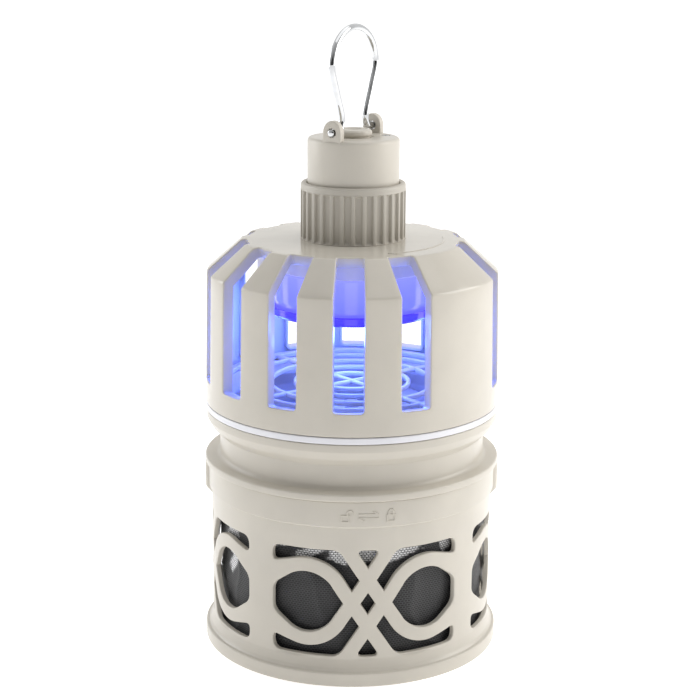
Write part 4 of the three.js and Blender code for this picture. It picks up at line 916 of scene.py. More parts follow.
def make_basket():
    wall = basket_wall()
    rings = lattice_rings(wall)
    columns = [round(x, 5) for x in np.linspace(-panel_half, panel_half, 37)]
    half = columns[-1]
    sheets = sheets_of(wall, half, columns, rings)
    bm = bmesh.new()
    for k in range(PANELS):
        add_sector(bm, wall, PANEL_AZIMUTH + 360 / PANELS * k, sheets, rings)
    for azimuth in (90, -90):
        add_grip(bm, azimuth)
    add_marks(bm)
    spigot = low("lower_housing")
    reach = RING_R - WALL - RING_CLEARANCE - LUG_REACH
    for k in range(BAYONETS):
        add_lug(bm, reach, RING_R - 1, spigot + 0.3, spigot + 2.3, 360 / BAYONETS * k, 8)
    return new_piece(bm, "basket_shell", cream, "basket", ["basket"])


def make_tray():
    z0, z1, r = span_of("base_tray")
    corners = [(0, z0 + 1.3, 0), (10.6, z0 + 1.3, 0.4), (11.2, z0, 0.5)]
    for ring in (22, 36, 50, 64):
        corners += [(ring, z0, 0.3), (ring + 0.6, z0 + 0.6, 0.3), (ring + 1.8, z0 + 0.6, 0.3),
                    (ring + 2.4, z0, 0.3)]
    corners += [(r, z0, 0.5), (r, z1, 0.5), (r - 4, z1, 0.3), (r - 5, z1 - 0.6, 0.3), (0, z1 - 0.6, 0)]
    return lathe("base_floor", corners, cream, "basket", ["base_tray"])


NET_R = 66.1
NET_SLACK = 2.6
NET_REACH = 70.6
NET_THICKNESS = 0.35


def make_net():
    """The soft net bag: hung from its hoop, with vertical puckers that fade and creases that cross."""
    top, bottom = high("net_liner"), low("net_liner")
    mouth = radius("net_liner")
    across, down = 420, 110
    wall_steps = 84
    bm = bmesh.new()
    uv = bm.loops.layers.uv.new("weave")
    painted_sheen_values, rings, drops = [], [], []
    for i in range(down + 1):
        if i <= wall_steps:
            share = i / wall_steps
            z, base = top - (top - bottom - 3) * share, NET_R
            along = (top - bottom) * share
        else:
            share = (i - wall_steps) / (down - wall_steps)
            turn = min(1.0, share * 5) * math.pi / 2
            z = bottom + 3 - 3 * math.sin(turn)
            base = NET_R - 3 + 3 * math.cos(turn) - (NET_R - 3.5) * max(0.0, share - 0.2) / 0.8
            along = (top - bottom) + NET_R * share
        flare = max(0.0, 1 - (top - z) / 7.0)
        ring = []
        for j in range(across):
            t = 2 * math.pi * j / across
            free = min(1.0, (top - z) / 12.0) * min(1.0, max(0.0, base / NET_R))
            place = Vector((math.cos(t) * 2.1, math.sin(t) * 2.1, z * 0.028))
            drift = noise.noise(place + Vector((3.1, 0, 7.7)))
            pucker = math.sin(t * 46 + 5 * drift) * 0.35 * max(0.0, 1 - (top - z) / 26.0)
            fold = noise.noise(Vector((math.cos(t) * 5.2, math.sin(t) * 5.2, z * 0.05 + 2 * drift)))
            ridge = noise.noise(Vector((math.cos(t) * 3.4, math.sin(t) * 3.4, z * 0.045 + 4.0)))
            crease = 1 - abs(ridge * 2.4)
            bulge = free * (NET_SLACK + 0.8 * fold + 0.7 * max(0.0, crease) ** 3) + pucker
            r = max(0.0, base + flare * (mouth - 0.6 - NET_R) + bulge * (1 if i <= wall_steps else 0.25))
            r = min(r, NET_REACH)
            ring.append(around(r, t, z))
            painted_sheen_values.append(painted_sheen_at(t, z, top))
        rings.append(ring)
        drops.append(along)
    grid = [[bm.verts.new(p) for p in ring] for ring in rings]
    bm.verts.index_update()
    for i in range(down):
        for j in range(across):
            k = (j + 1) % across
            face = bm.faces.new([grid[i][j], grid[i + 1][j], grid[i + 1][k], grid[i][k]])
            for loop, (a, b) in zip(face.loops, ((i, j), (i + 1, j), (i + 1, j + 1), (i, j + 1))):
                loop[uv].uv = (2 * math.pi * b / across * NET_R, drops[a])
    bmesh.ops.scale(bm, vec=(MM, MM, MM), verts=bm.verts)
    piece = as_object(bm, "net_bag", net_fabric)
    # the painted sheen goes on the net as a point attribute
    piece.data.attributes.new("painted_sheen", "FLOAT", "POINT").data.foreach_set("value", painted_sheen_values)
    smooth(piece.data)
    thick = piece.modifiers.new("cloth", "SOLIDIFY")
    thick.thickness = NET_THICKNESS * MM
    thick.offset = -1
    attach(piece, "liner")
    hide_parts("net_liner")
    return piece


# painted sheen patches of the net, where its creases catch the light: azimuth, height, half length, half
# width and slant (angles in degrees)
PAINTED_SHEEN_PATCHES = (
    (-31, 70, 4, 1.6, 10), (-18, 67, 7, 2.4, 30), (-5, 65.5, 4.5, 3, -20), (7, 68, 6, 4.5, 0),
    (21, 66.5, 10, 2.2, 16), (44, 68, 3.5, 4.5, 20), (-61, 70, 5, 5, 0), (-60, 52, 9, 2.6, 50),
    (-64, 59, 4, 5, 60), (62, 66, 3, 6, 0),
    (63, 52, 3, 6, 70), (82, 68, 6, 3, 20), (110, 67, 9, 2.4, 25), (133, 60, 8, 2.2, 50), (150, 69, 6, 3, 0),
    (171, 67, 9, 2.6, 20), (197, 66, 5, 3, -20), (214, 69, 8, 2.4, 15), (236, 58, 9, 2.4, 50),
    (262, 68, 6, 4, 10))


def painted_sheen_at(turn, z, top):
    """How much painted sheen the net shows: slanted patches, mostly in its upper third, with ragged edges."""
    result = 0.0
    ragged = 0.35 * noise.noise(Vector((turn * 30, z * 0.4, top)))
    for azimuth, height, length, width, slant in PAINTED_SHEEN_PATCHES:
        away = (math.degrees(turn) - azimuth + 180) % 360 - 180
        along, up = math.radians(away) * NET_R, z - height
        lean = math.radians(slant)
        x = (along * math.cos(lean) + up * math.sin(lean)) / length
        y = (up * math.cos(lean) - along * math.sin(lean)) / width
        gap = max(abs(x), abs(y)) + ragged
        result = max(result, min(1.0, max(0.0, (1.15 - gap) / 0.25)))
    return result


def make_hoop():
    z0, z1, r = span_of("liner_hoop")
    corners = [(r - 2.6, z0, 0.6), (r, z0, 0.6), (r, z1, 0.6), (r - 2.6, z1, 0.6)]
    return lathe("hoop_ring", corners, black, "liner", ["liner_hoop"])


# Lower housing

NECK_R = 69.1
FLANGE_Z = BASKET_TOP + 0.3
FLANGE_R = radius("lower_housing")
CAGE_FOOT_R = radius("upper_cage")
BAND_LOW, BAND_HIGH = low("light_band"), high("light_band")
BOWL_TOP = BAND_LOW - 0.3
SPIGOT_LOW = low("lower_housing")
HOUSING_TOP = high("lower_housing")
SEAT_R = CAGE_FOOT_R - 2.8 - 0.3
GUARD_R = radius("fan_guard")


def make_lower_housing():
    spigot_r = RING_R - WALL - RING_CLEARANCE - LUG_REACH - 0.5
    neck_inner = NECK_R - 2.5
    duct_shelf = low("air_duct") - 0.3
    corners = [
        (spigot_r, SPIGOT_LOW, 0.5), (spigot_r, FLANGE_Z, 0.3), (FLANGE_R, FLANGE_Z, 0.9),
        (FLANGE_R, FLANGE_Z + 3.8, 0.9), (NECK_R, FLANGE_Z + 3.8, 2.4), (NECK_R, FLANGE_Z + 16.4, 1.5),
        (NECK_R + 4.4, FLANGE_Z + 20.4, 4), (CAGE_FOOT_R - 0.3, FLANGE_Z + 25.0, 1.2),
        (CAGE_FOOT_R - 0.3, BOWL_TOP, 0.5), (SEAT_R, BOWL_TOP, 0.2),
        (SEAT_R, HOUSING_TOP, 0.3), (GUARD_R + 0.3, HOUSING_TOP, 0.2), (GUARD_R + 0.3, HOUSING_TOP - 2.3, 0),
        (GUARD_R - 2, HOUSING_TOP - 2.3, 0.2), (GUARD_R - 2, FLANGE_Z + 24.4, 2),
        (neck_inner, FLANGE_Z + 16.4, 2), (neck_inner, duct_shelf, 0.3), (spigot_r - 2.5, FLANGE_Z, 0.4),
        (spigot_r - 2.5, SPIGOT_LOW, 0.5)]
    bm = bmesh.new()
    add_lathe(bm, rounded(corners))
    arc = 360 / BAYONETS - BAYONET_GAP
    for k in range(BAYONETS):
        azimuth = BAYONET_AZIMUTH + 360 / BAYONETS * k
        add_lug(bm, spigot_r - 1, spigot_r + LUG_REACH, SPIGOT_LOW, SPIGOT_LOW + 2, azimuth, arc, 40)
    return new_piece(bm, "housing_bowl", cream, "housing", ["lower_housing"])


def make_light_band():
    corners = [(SEAT_R + 0.3, BAND_LOW, 0.2), (CAGE_FOOT_R, BAND_LOW, 0.55), (CAGE_FOOT_R, BAND_HIGH, 0.55),
               (SEAT_R + 0.3, BAND_HIGH, 0.2)]
    return lathe("band_ring", corners, white_band, "housing", ["light_band"])


# Cage

CAGE_R = 75.0
CAGE_FOOT = low("upper_cage")
ROOF_Z = high("upper_cage")
SHOULDER_Z = CAGE_FOOT + 68.3
ROOF_EDGE_Z = ROOF_Z - 0.5
ROOF_EDGE_R = CAGE_R - 17.8
CAGE_WALL = 2.8
ROOF_UNDER = ROOF_EDGE_Z - 2.5
ROOF_HOLE = 20.7
SLOTS = 14
BLANK = 2
SLOT_AZIMUTH = -1.2
SLOT_WIDTH = 15.5
SLOT_TOP_WIDTH = 13.4
SLOT_SILL = CAGE_FOOT + 11.9
SLOT_NOTCH = 2.7
RETURN_DEPTH = 2.1
RETURN_WALL = 1.5


def cage_wall():
    slope = math.atan2(CAGE_R - ROOF_EDGE_R, ROOF_EDGE_Z - SHOULDER_Z)
    shift = CAGE_WALL * math.tan(slope / 2)
    foot = (CAGE_FOOT_R - CAGE_WALL / 2, CAGE_FOOT)
    outer = rounded([foot, (CAGE_FOOT_R, CAGE_FOOT, 0.6), (CAGE_R, SHOULDER_Z, 2.0),
                     (ROOF_EDGE_R, ROOF_EDGE_Z, 2.2), (29, ROOF_Z, 1), (ROOF_HOLE, ROOF_Z, 0.5),
                     (ROOF_HOLE, ROOF_Z - 1.2)], closed=False)
    inner = [foot, (CAGE_FOOT_R - CAGE_WALL, CAGE_FOOT), (CAGE_R - CAGE_WALL, SHOULDER_Z - shift),
             (ROOF_EDGE_R - shift, ROOF_UNDER), (ROOF_HOLE, ROOF_UNDER), (ROOF_HOLE, ROOF_Z - 1.2)]
    outer = stepped(outer, 4.0)
    shoulder = min(range(len(outer)), key=lambda i: math.dist(outer[i], (CAGE_R, SHOULDER_Z)))
    edge = min(range(len(outer)), key=lambda i: math.dist(outer[i], (ROOF_EDGE_R, ROOF_EDGE_Z)))
    zones = [(outer[:shoulder + 1], inner[:3]), (outer[shoulder:edge + 1], inner[2:4]),
             (outer[edge:], inner[3:])]
    stations = []
    for a, b in zones:
        stations += paired(a, b)[1 if stations else 0:]
    return Wall(stations, CAGE_R)


def slot_outline(wall, grow):
    """The outline of a slot, grown into the wall: up one side, across the top, down and back."""
    sill = wall.up_of(SLOT_SILL)
    shoulder = wall.up_of(SHOULDER_Z)
    edge = wall.up_at(lambda p: p[0] < ROOF_EDGE_R + 0.05 and p[1] > SHOULDER_Z)
    top = edge + SLOT_NOTCH

    def half_at(up):
        share = min(1.0, max(0.0, (up - shoulder) / (top - shoulder)))
        width = SLOT_WIDTH + (SLOT_TOP_WIDTH - SLOT_WIDTH) * share + 2 * grow
        r = wall.section(up, 0.0)[0]
        return CAGE_R * math.asin(width / 2 / r)

    low_up, top_up = sill - grow, top + grow
    low_r, top_r = 1.8 + grow, 1.5 + grow
    right = [(half_at(low_up + up) - inset, low_up + up) for inset, up in edge_steps(low_r, 6)]
    right += [(half_at(u), u) for u in wall.up if sill + 4 < u < top - 3]
    right += [(half_at(top_up - drop) - inset, top_up - drop) for drop, inset in edge_steps(top_r, 6)]
    across = 6
    top_half, low_half = right[-1][0], right[0][0]
    over = [(top_half - 2 * top_half * i / across, right[-1][1]) for i in range(1, across)]
    under = [(-low_half + 2 * low_half * i / across, right[0][1]) for i in range(1, across)]
    left = [(-x, u) for x, u in reversed(right)]
    return right + over + left + under


def slot_rings(wall):
    ring = [(slot_outline(wall, offset), depth / CAGE_WALL) for offset, depth in edge_steps(0.7, 5)]
    inner = slot_outline(wall, 0.0)
    ring.append((inner, RETURN_DEPTH * 0.5))
    ring.append((inner, RETURN_DEPTH - 0.1))
    ring.append((slot_outline(wall, 0.25), RETURN_DEPTH))
    ring.append((slot_outline(wall, RETURN_WALL - 0.2), RETURN_DEPTH))
    ring.append((slot_outline(wall, RETURN_WALL), RETURN_DEPTH - 0.1))
    ring.append((slot_outline(wall, RETURN_WALL), 1.0))
    return ring


ROOF_ARROW_R = 46.7
ROOF_ARROW_SPAN = (22, 96)
ROOF_FLAT = 29


def add_roof_arrow(bm):
    """A raised arc with an arrow head on the roof, round the right of the collar."""

    def level(r):
        return ROOF_Z - (ROOF_Z - ROOF_EDGE_Z) * max(0.0, r - ROOF_FLAT) / (ROOF_EDGE_R - ROOF_FLAT)

    def strip(r0, r1, a0, a1, steps):
        rings = []
        for i in range(steps + 1):
            a = a0 + (a1 - a0) * i / steps
            rings.append([polar(r, a, level(r) + h) for r, h in
                          ((r0, -0.3), (r0, 0.2), (r0 + 0.12, 0.3), (r1 - 0.12, 0.3), (r1, 0.2), (r1, -0.3))])
        add_solid(bm, rings)

    strip(ROOF_ARROW_R - 0.5, ROOF_ARROW_R + 0.5, *ROOF_ARROW_SPAN, 60)
    for side in (-1, 1):
        for k in range(6):
            a = ROOF_ARROW_SPAN[0] + k * 0.75
            r = ROOF_ARROW_R + side * k * 0.42
            strip(r - 0.45, r + 0.45, a, a + 1.1, 2)


def make_cage():
    wall = cage_wall()
    half = math.pi * CAGE_R / SLOTS
    columns = [round(x, 5) for x in np.linspace(-half, half, 13)]
    rings = [slot_rings(wall)]
    pierced = sheets_of(wall, columns[-1], columns, rings, clear=0.9)
    plain = sheets_of(wall, columns[-1], columns, [])
    bm = bmesh.new()
    for k in range(SLOTS):
        azimuth = SLOT_AZIMUTH + 360 / SLOTS * k
        if k == BLANK:
            add_sector(bm, wall, azimuth, plain, [])
        else:
            add_sector(bm, wall, azimuth, pierced, rings)
    add_roof_arrow(bm)
    return new_piece(bm, "cage_shell", cream_gloss, "housing", ["upper_cage"])


# Duct, guard, fan and motor


def make_duct():
    z0, z1, r = span_of("air_duct")
    corners = [(64.3, z0, 0.6), (66.3, z0, 0.6), (66.3, 121.4, 1.5), (r, 125.2, 1.2), (r, z1, 0.4),
               (66.4, z1, 0.6), (61.5, 129.0, 2.4), (64.3, 122.0, 3)]
    return lathe("duct_tube", corners, cream, "housing", ["air_duct"])


GUARD_RINGS = (16.4, 29.5, 42.6, 55.7)
GUARD_BAR = 2.2
GUARD_HUB_BAR = 3.0
GUARD_SPOKES = (38, 128)
SPOKE_WIDTH = 3.0
SPOKE_REACH = 66.6
SPOKE_SHARE = 0.98
GUARD_RIM_INNER = 66.0
GUARD_ROUND = 0.8


def make_guard():
    z0, z1, r = span_of("fan_guard")
    middle, height = (z0 + z1) / 2, z1 - z0
    bm = bmesh.new()
    add_lathe(bm, rounded([(GUARD_RIM_INNER, z0, 0.5), (r, z0, 0.5), (r, z1, 0.5),
                           (GUARD_RIM_INNER, z1, 0.9)]))
    for ring in GUARD_RINGS:
        half = (GUARD_HUB_BAR if ring == GUARD_RINGS[0] else GUARD_BAR) / 2
        add_lathe(bm, rounded([(ring + side * half, z, GUARD_ROUND) for side, z in
                               ((-1, z0), (1, z0), (1, z1), (-1, z1))]), MID_SEGMENTS)
    for azimuth in GUARD_SPOKES:
        add_bar(bm, polar(SPOKE_REACH, azimuth + 180, middle), polar(SPOKE_REACH, azimuth, middle),
                SPOKE_WIDTH, height * SPOKE_SHARE)
    return new_piece(bm, "guard_grille", cream, "housing", ["fan_guard"])


SCREW_ARMS = 4
THREAD_TURNS = 30


def add_screw_head(bm, place, size, thick):
    """A domed screw head with a cross recess: place is the middle of its top."""
    segments = 32
    place = Vector(place)
    rows = ((size, -thick), (size, -thick * 0.45), (size * 0.9, -thick * 0.12), (size * 0.7, 0.0))
    recess = size * 0.55
    rings = []
    for r, z in rows:
        rings.append([place + Vector((r * math.cos(t), r * math.sin(t), z))
                      for t in (2 * math.pi * j / segments for j in range(segments))])
    for scale, depth in ((1.0, 0.0), (0.92, -thick * 0.55), (0.0, -thick * 0.7)):
        ring = []
        for j in range(segments):
            t = 2 * math.pi * j / segments
            arm = abs(math.cos(SCREW_ARMS / 2 * t)) ** 3
            r = recess * scale * (0.3 + 0.7 * arm)
            ring.append(place + Vector((r * math.cos(t), r * math.sin(t), depth)))
        rings.append(ring)
    verts = add_rings(bm, rings, close=False)
    bm.faces.new(verts[0])


def screws(name, places, size, thick, shank, depth, body, nodes):
    """Screws with domed heads and ridged shanks: places are the middles of their tops."""
    bm = bmesh.new()
    for place in places:
        add_screw_head(bm, place, size, thick)
        top, foot = place[2] - thick, place[2] - (thick + depth)
        chain = [(0.01, top), (shank, top)]
        for k in range(THREAD_TURNS + 1):
            z = top + (foot - top) * k / THREAD_TURNS
            chain.append((shank - (0.18 if k % 2 else 0.0), z))
        chain += [(shank * 0.3, foot - 0.01), (0.01, foot)]
        add_lathe(bm, chain, SMALL_SEGMENTS // 2, (place[0], place[1]))
    return new_piece(bm, name, steel, body, nodes)


def place_of(node_name):
    middle = centre(node_name)
    return (middle.x, middle.y, high(node_name))


def make_guard_screws():
    names = [f"guard_screw_{k}" for k in range(1, 5)]
    depth = high(names[0]) - low(names[0]) - 1.3
    return screws("guard_fixings", [place_of(n) for n in names], 2.15, 1.3, 1.15, depth, "housing", names)


def make_mount():
    z0, r = low("motor_mount"), radius("motor_mount")
    cup_top = high("motor_mount")
    bm = bmesh.new()
    add_lathe(bm, rounded([(61.8, z0, 0.5), (r, z0, 0.5), (r, z0 + 4, 0.5), (61.8, z0 + 4, 0.5)]))
    cup = rounded([(5.2, z0, 0.3), (15.6, z0, 0.8), (15.6, cup_top, 0.5), (14.2, cup_top, 0.4),
                   (14.2, z0 + 2, 0.3), (5.2, z0 + 2, 0.3)])
    add_lathe(bm, cup, MID_SEGMENTS)
    for azimuth in (30, 150, 270):
        add_bar(bm, polar(15.0, azimuth, z0 + 2), polar(62.4, azimuth, z0 + 2), 4.5, 3.9, power=5)
    return new_piece(bm, "mount_ring", cream, "housing", ["motor_mount"])


def make_can():
    z0, z1, r = span_of("motor_can")
    corners = [(3.4, z0, 0.2), (r - 1.2, z0, 0.8), (r - 0.1, z0 + 1.4, 0.6), (r - 0.1, z0 + 5.6, 0.2),
               (r, z0 + 5.8, 0.1), (r, z0 + 6.6, 0.1), (r - 0.1, z0 + 6.8, 0.2), (r - 0.1, z1 - 1.4, 0.6),
               (r - 1.3, z1, 0.9), (5.6, z1, 0.3), (5.0, z1 - 0.5, 0.2), (3.4, z1 - 0.5, 0.2),
               (3.4, z1 - 1.3, 0.1), (r - 1.2, z1 - 1.3, 0.3), (r - 1.2, z0 + 1.2, 0.3), (3.4, z0 + 1.2, 0.1)]
    return lathe("motor_shell", corners, steel, "housing", ["motor_can"], MID_SEGMENTS)


BLADES = 7
HUB_R = 16.7
BLADE_TIP = 61.9
BLADE_ROOT = 1.0
BLADE_CAMBER = 1.1
BLADE_MIDDLE = 116.25
BLADE_THICK = 1.7
BLADE_CHORD = 21.0
ROOT_PITCH = 42
TIP_PITCH = 24
ROTOR_LOW = 109.5
ROTOR_HIGH = 123.0


def add_blade(bm, azimuth):
    """A twisted blade with a cambered, round-edged section that thins towards its tip."""
    spans, sides = 26, 28
    rings = []
    for i in range(spans + 1):
        share = i / spans
        span = HUB_R - BLADE_ROOT + (BLADE_TIP - HUB_R + BLADE_ROOT) * share
        pitch = math.radians(ROOT_PITCH + (TIP_PITCH - ROOT_PITCH) * share)
        chord = BLADE_CHORD * (0.62 + 0.5 * share)
        round_tip = math.sqrt(max(0.0, 1 - max(0.0, (share - 0.9) / 0.1) ** 2))
        chord *= 0.86 + 0.14 * round_tip
        ring = []
        for j in range(sides):
            t = 2 * math.pi * j / sides
            c, s = math.cos(t), math.sin(t)
            x = math.copysign(abs(c) ** 0.9, c) * chord / 2
            thick = BLADE_THICK * (1 - 0.3 * share) / 2 * math.copysign(abs(s) ** 0.75, s)
            camber = BLADE_CAMBER * (1 - (2 * x / chord) ** 2) * (0.4 + 0.6 * share)
            local = Vector((x, thick + camber - 0.5))
            along = local.x * math.cos(pitch) - local.y * math.sin(pitch)
            rise = local.x * math.sin(pitch) + local.y * math.cos(pitch)
            ring.append(polar(span, azimuth + math.degrees(along / span), BLADE_MIDDLE + rise))
        rings.append(ring)
    add_solid(bm, rings)


def make_rotor():
    z0, z1 = ROTOR_LOW, ROTOR_HIGH
    bm = bmesh.new()
    hub = [(14.9, z0, 0.5), (HUB_R, z0, 0.5), (HUB_R, z1 - 2.6, 3), (HUB_R - 3.2, z1, 2), (9.0, z1, 0.3),
           (8.4, z1 - 0.5, 0.3), (6.2, z1 - 0.5, 0.3), (5.6, z1, 0.3), (1.55, z1, 0.2), (1.55, z1 - 3, 0.2),
           (12.2, z1 - 3.0, 1.5), (14.9, z1 - 5.4, 1.5)]
    add_lathe(bm, rounded(hub), MID_SEGMENTS)
    for k in range(BLADES):
        add_blade(bm, 90 + 360 / BLADES * k)
    return new_piece(bm, "fan_blades", cream, "fan", ["fan_rotor"])


def make_hub_cap():
    z0, z1, r = span_of("hub_cap")
    corners = [(0, z0, 0), (r, z0, 0.3), (r, z1 - 1.6, 1.6), (r - 1.8, z1, 1.2), (0, z1, 0)]
    return lathe("hub_button", corners, cream, "fan", ["hub_cap"], SMALL_SEGMENTS)


# Lamp


def make_lens():
    z0, z1 = low("lamp_lens"), high("lamp_lens")
    inner, outer = 23.2, radius("lamp_lens")
    plug = 40.5
    shoulder = LENS_HIGH - 0.3
    corners = [(outer - 3.4, z0, 1.2), (outer - 1.2, z0 + 1.2, 1.5), (outer, z0 + 6, 4),
               (outer, shoulder, 0.5), (plug, shoulder, 0.3), (plug, z1, 0.5), (inner, z1, 0.5),
               (inner, z0 + 3, 1.6), (inner + 1.6, z0 + 0.6, 1.4), (30, z0, 2)]
    return lathe("lens_ring", corners, lens_blue, "housing", ["lamp_lens"])


def make_rim():
    z0, z1, r = span_of("lens_rim")
    outer = radius("lamp_lens") + 0.3
    corners = [(36.6, z0, 0.6), (r - 0.8, z0, 0.8), (r, z0 + 1.0, 0.8), (r, z1, 0.5), (outer, z1, 0.3),
               (outer, z0 + 1.6, 0.3), (36.6, z0 + 1.3, 0.4)]
    return lathe("rim_ring", corners, rim_blue, "housing", ["lens_rim"])


def make_lamp_housing():
    z0, z1, r = span_of("lamp_housing")
    deck = z0 + 7.4
    corners = [(40.8, z0, 0.3), (r, z0, 0.5), (r, z1, 1.2), (r - 2.2, z1, 0.8), (r - 3.0, z1 - 0.8, 0.3),
               (25.4, z1 - 0.8, 0.3), (24.8, z1, 0.4), (23.2, z1, 0.4), (23.2, z0 + 4, 0.3),
               (25.2, z0 + 4, 0.3), (25.2, deck, 0.4), (40.8, deck, 0.4)]
    return lathe("lamp_shell", corners, lamp_housing_painted_light, "housing", ["lamp_housing"])


def make_bulb():
    z0, z1, r = span_of("uv_bulb")
    profile = [(0, z0), *[(r * math.sin(t), z0 + 12 - 12 * math.cos(t)) for t in
                          (math.pi / 2 * i / 16 for i in range(1, 17))], (r, z1 - 3), (r - 0.8, z1 - 1),
               (r - 2.6, z1), (0, z1)]
    bm = bmesh.new()
    add_lathe(bm, profile, MID_SEGMENTS)
    return new_piece(bm, "bulb_globe", bulb_violet, "lamp_module", ["uv_bulb"])


# Collar

RIBS = 30
COLLAR_R = radius("collar")
RIB_LOW, RIB_HIGH = 214.6, 239.6
LIP_TOP = 243.2
LIP_BORE = 23.9
GROOVE = 1.4
RIB_COLUMNS = 20
COLLAR_BORE = 18.3
COLLAR_LUG = (19.6, 22.6)
COLLAR_LUG_SPREAD = 34


def make_collar():
    """The gripping collar: ribs with narrow rounded crests and wide flat grooves between plain rings."""
    z0, z1 = low("collar"), high("collar")
    ring_foot = z0 + 2.3
    bore = COLLAR_BORE
    columns = RIBS * RIB_COLUMNS
    plain = COLLAR_R - 0.2
    outer = [(plain - 0.9, ring_foot), (plain - 0.3, ring_foot + 0.3), (plain, ring_foot + 0.9)]
    outer += [(plain, z) for z in (RIB_LOW - 0.8, RIB_LOW - 0.3)]
    outer += [(COLLAR_R, RIB_LOW + 0.15 * k) for k in range(0, 9)]
    outer += [(COLLAR_R, z) for z in np.linspace(RIB_LOW + 2, RIB_HIGH - 2, 12)]
    outer += [(COLLAR_R, RIB_HIGH - 0.15 * k) for k in range(8, -1, -1)]
    outer += [(plain, RIB_HIGH + 0.3), (plain, RIB_HIGH + 0.8), (plain, LIP_TOP - 1.4)]
    outer += [(plain - 1.2 * (1 - math.cos(t)), LIP_TOP - 1.4 + 1.4 * math.sin(t))
              for t in (math.pi / 2 * i / 5 for i in range(1, 6))]
    inner = [(LIP_BORE + 0.5, LIP_TOP), (LIP_BORE, LIP_TOP - 0.4), (LIP_BORE, z1), (bore + 0.8, z1),
             (bore + 0.2, z1 - 0.2), (bore, z1 - 0.8), (bore, z0 + 0.6), (bore + 0.5, z0),
             (20.0, z0), (20.2, z0 + 0.3), (20.2, ring_foot)]
    rings = []
    for r, z in outer + inner:
        end = min(z - RIB_LOW, RIB_HIGH - z) if (r, z) in outer else -1
        depth = GROOVE * min(1.0, max(0.0, end / 1.1)) ** 0.6
        ring = []
        for j in range(columns):
            t = 2 * math.pi * j / columns
            share = (j % RIB_COLUMNS) / RIB_COLUMNS
            off = abs(share - 0.5)
            cut = min(1.0, max(0.0, (0.36 - off) / 0.13))
            cut = cut * cut * (3 - 2 * cut)
            crest = 0.12 * max(0.0, 1 - ((0.5 - off) / 0.16) ** 2) if depth > 0 else 0.0
            size = r - depth * cut - (0.12 - crest if depth > 0 else 0)
            ring.append(around(size, t, z))
        rings.append(ring)
    bm = bmesh.new()
    add_rings(bm, rings)
    for k in range(3):
        add_lug(bm, *COLLAR_LUG, z0, z0 + 2, 90 + 120 * k, COLLAR_LUG_SPREAD)
    return new_piece(bm, "collar_grip", cream_dull, "collar", ["collar"], math.radians(40))


# Stem, cap and gland

STEM_BORE = 16.2
STEM_R = 17.8
STEM_SHELF = 241.6
HINGE = math.radians(61)
HINGE_Z = 270.0
CAP_R = radius("top_cap")
CAP_LOW = low("top_cap")
CAP_DECK = 266.1
CAP_SKIRT = CAP_LOW - 1.0
EAR_FACE = 22.7
EAR_THICKNESS = 4.0
EAR_HALF = 5.1
EAR_TOP = 6.0
EAR_HOLE = 2.25
EAR_SUNK = 1.4
EAR_EDGE = 0.6


def make_stem():
    z0, z1, r = span_of("stem")
    inner, outer, shelf = STEM_BORE, STEM_R, STEM_SHELF
    corners = [(inner, z0, 0.4), (outer, z0, 0.4), (outer, shelf, 0.3), (r - 0.6, shelf, 0.3),
               (r - 0.6, 242.2, 0.4), (21.0, 242.3, 0.3), (21.0, 244.4, 0.4),
               (17.9, 244.5, 0.2), (17.9, z1, 0.6), (inner, z1, 0.5)]
    return lathe("stem_tube", corners, cream, "lamp_module", ["stem"])


def hinge_frame():
    along = Vector((math.cos(HINGE), math.sin(HINGE), 0))
    return along, Vector((-along.y, along.x, 0))


def add_ear(bm, sign):
    """A rounded ear plate with its pivot hole, standing on the cap's deck."""
    along, across = hinge_frame()
    half, top_r, hole = EAR_HALF, EAR_TOP, EAR_HOLE
    foot = CAP_DECK - EAR_SUNK
    outline = [(half, foot)]
    outline += [(half * math.cos(t), HINGE_Z + top_r * math.sin(t)) for t in
                (math.pi * i / 24 for i in range(25))]
    outline += [(-half, foot)]
    shut = outline + outline[:1]
    along_ear = lengths(shut)
    count = 72
    ring = [at_share(shut, along_ear, i / count) for i in range(count)]
    bore = []
    for a, z in ring:
        angle = math.atan2(z - HINGE_Z, a)
        bore.append((hole * math.cos(angle), HINGE_Z + hole * math.sin(angle)))

    def chain(points, inset, reach):
        made = []
        for a, z in points:
            size = math.hypot(a, z - HINGE_Z)
            shrink = 1 - inset / max(size, 1e-6)
            place = along * (sign * reach) + across * (a * shrink)
            made.append((place.x, place.y, HINGE_Z + (z - HINGE_Z) * shrink))
        return made

    steps = edge_steps(EAR_EDGE)
    inner_face = EAR_FACE - EAR_THICKNESS
    loops = [chain(ring, offset, EAR_FACE - depth) for offset, depth in steps]
    loops += [chain(ring, offset, inner_face + depth) for offset, depth in reversed(steps)]
    loops += [chain(bore, -0.3, inner_face), chain(bore, 0.0, inner_face + 0.3),
              chain(bore, 0.0, EAR_FACE - 0.3), chain(bore, -0.3, EAR_FACE)]
    add_rings(bm, loops)


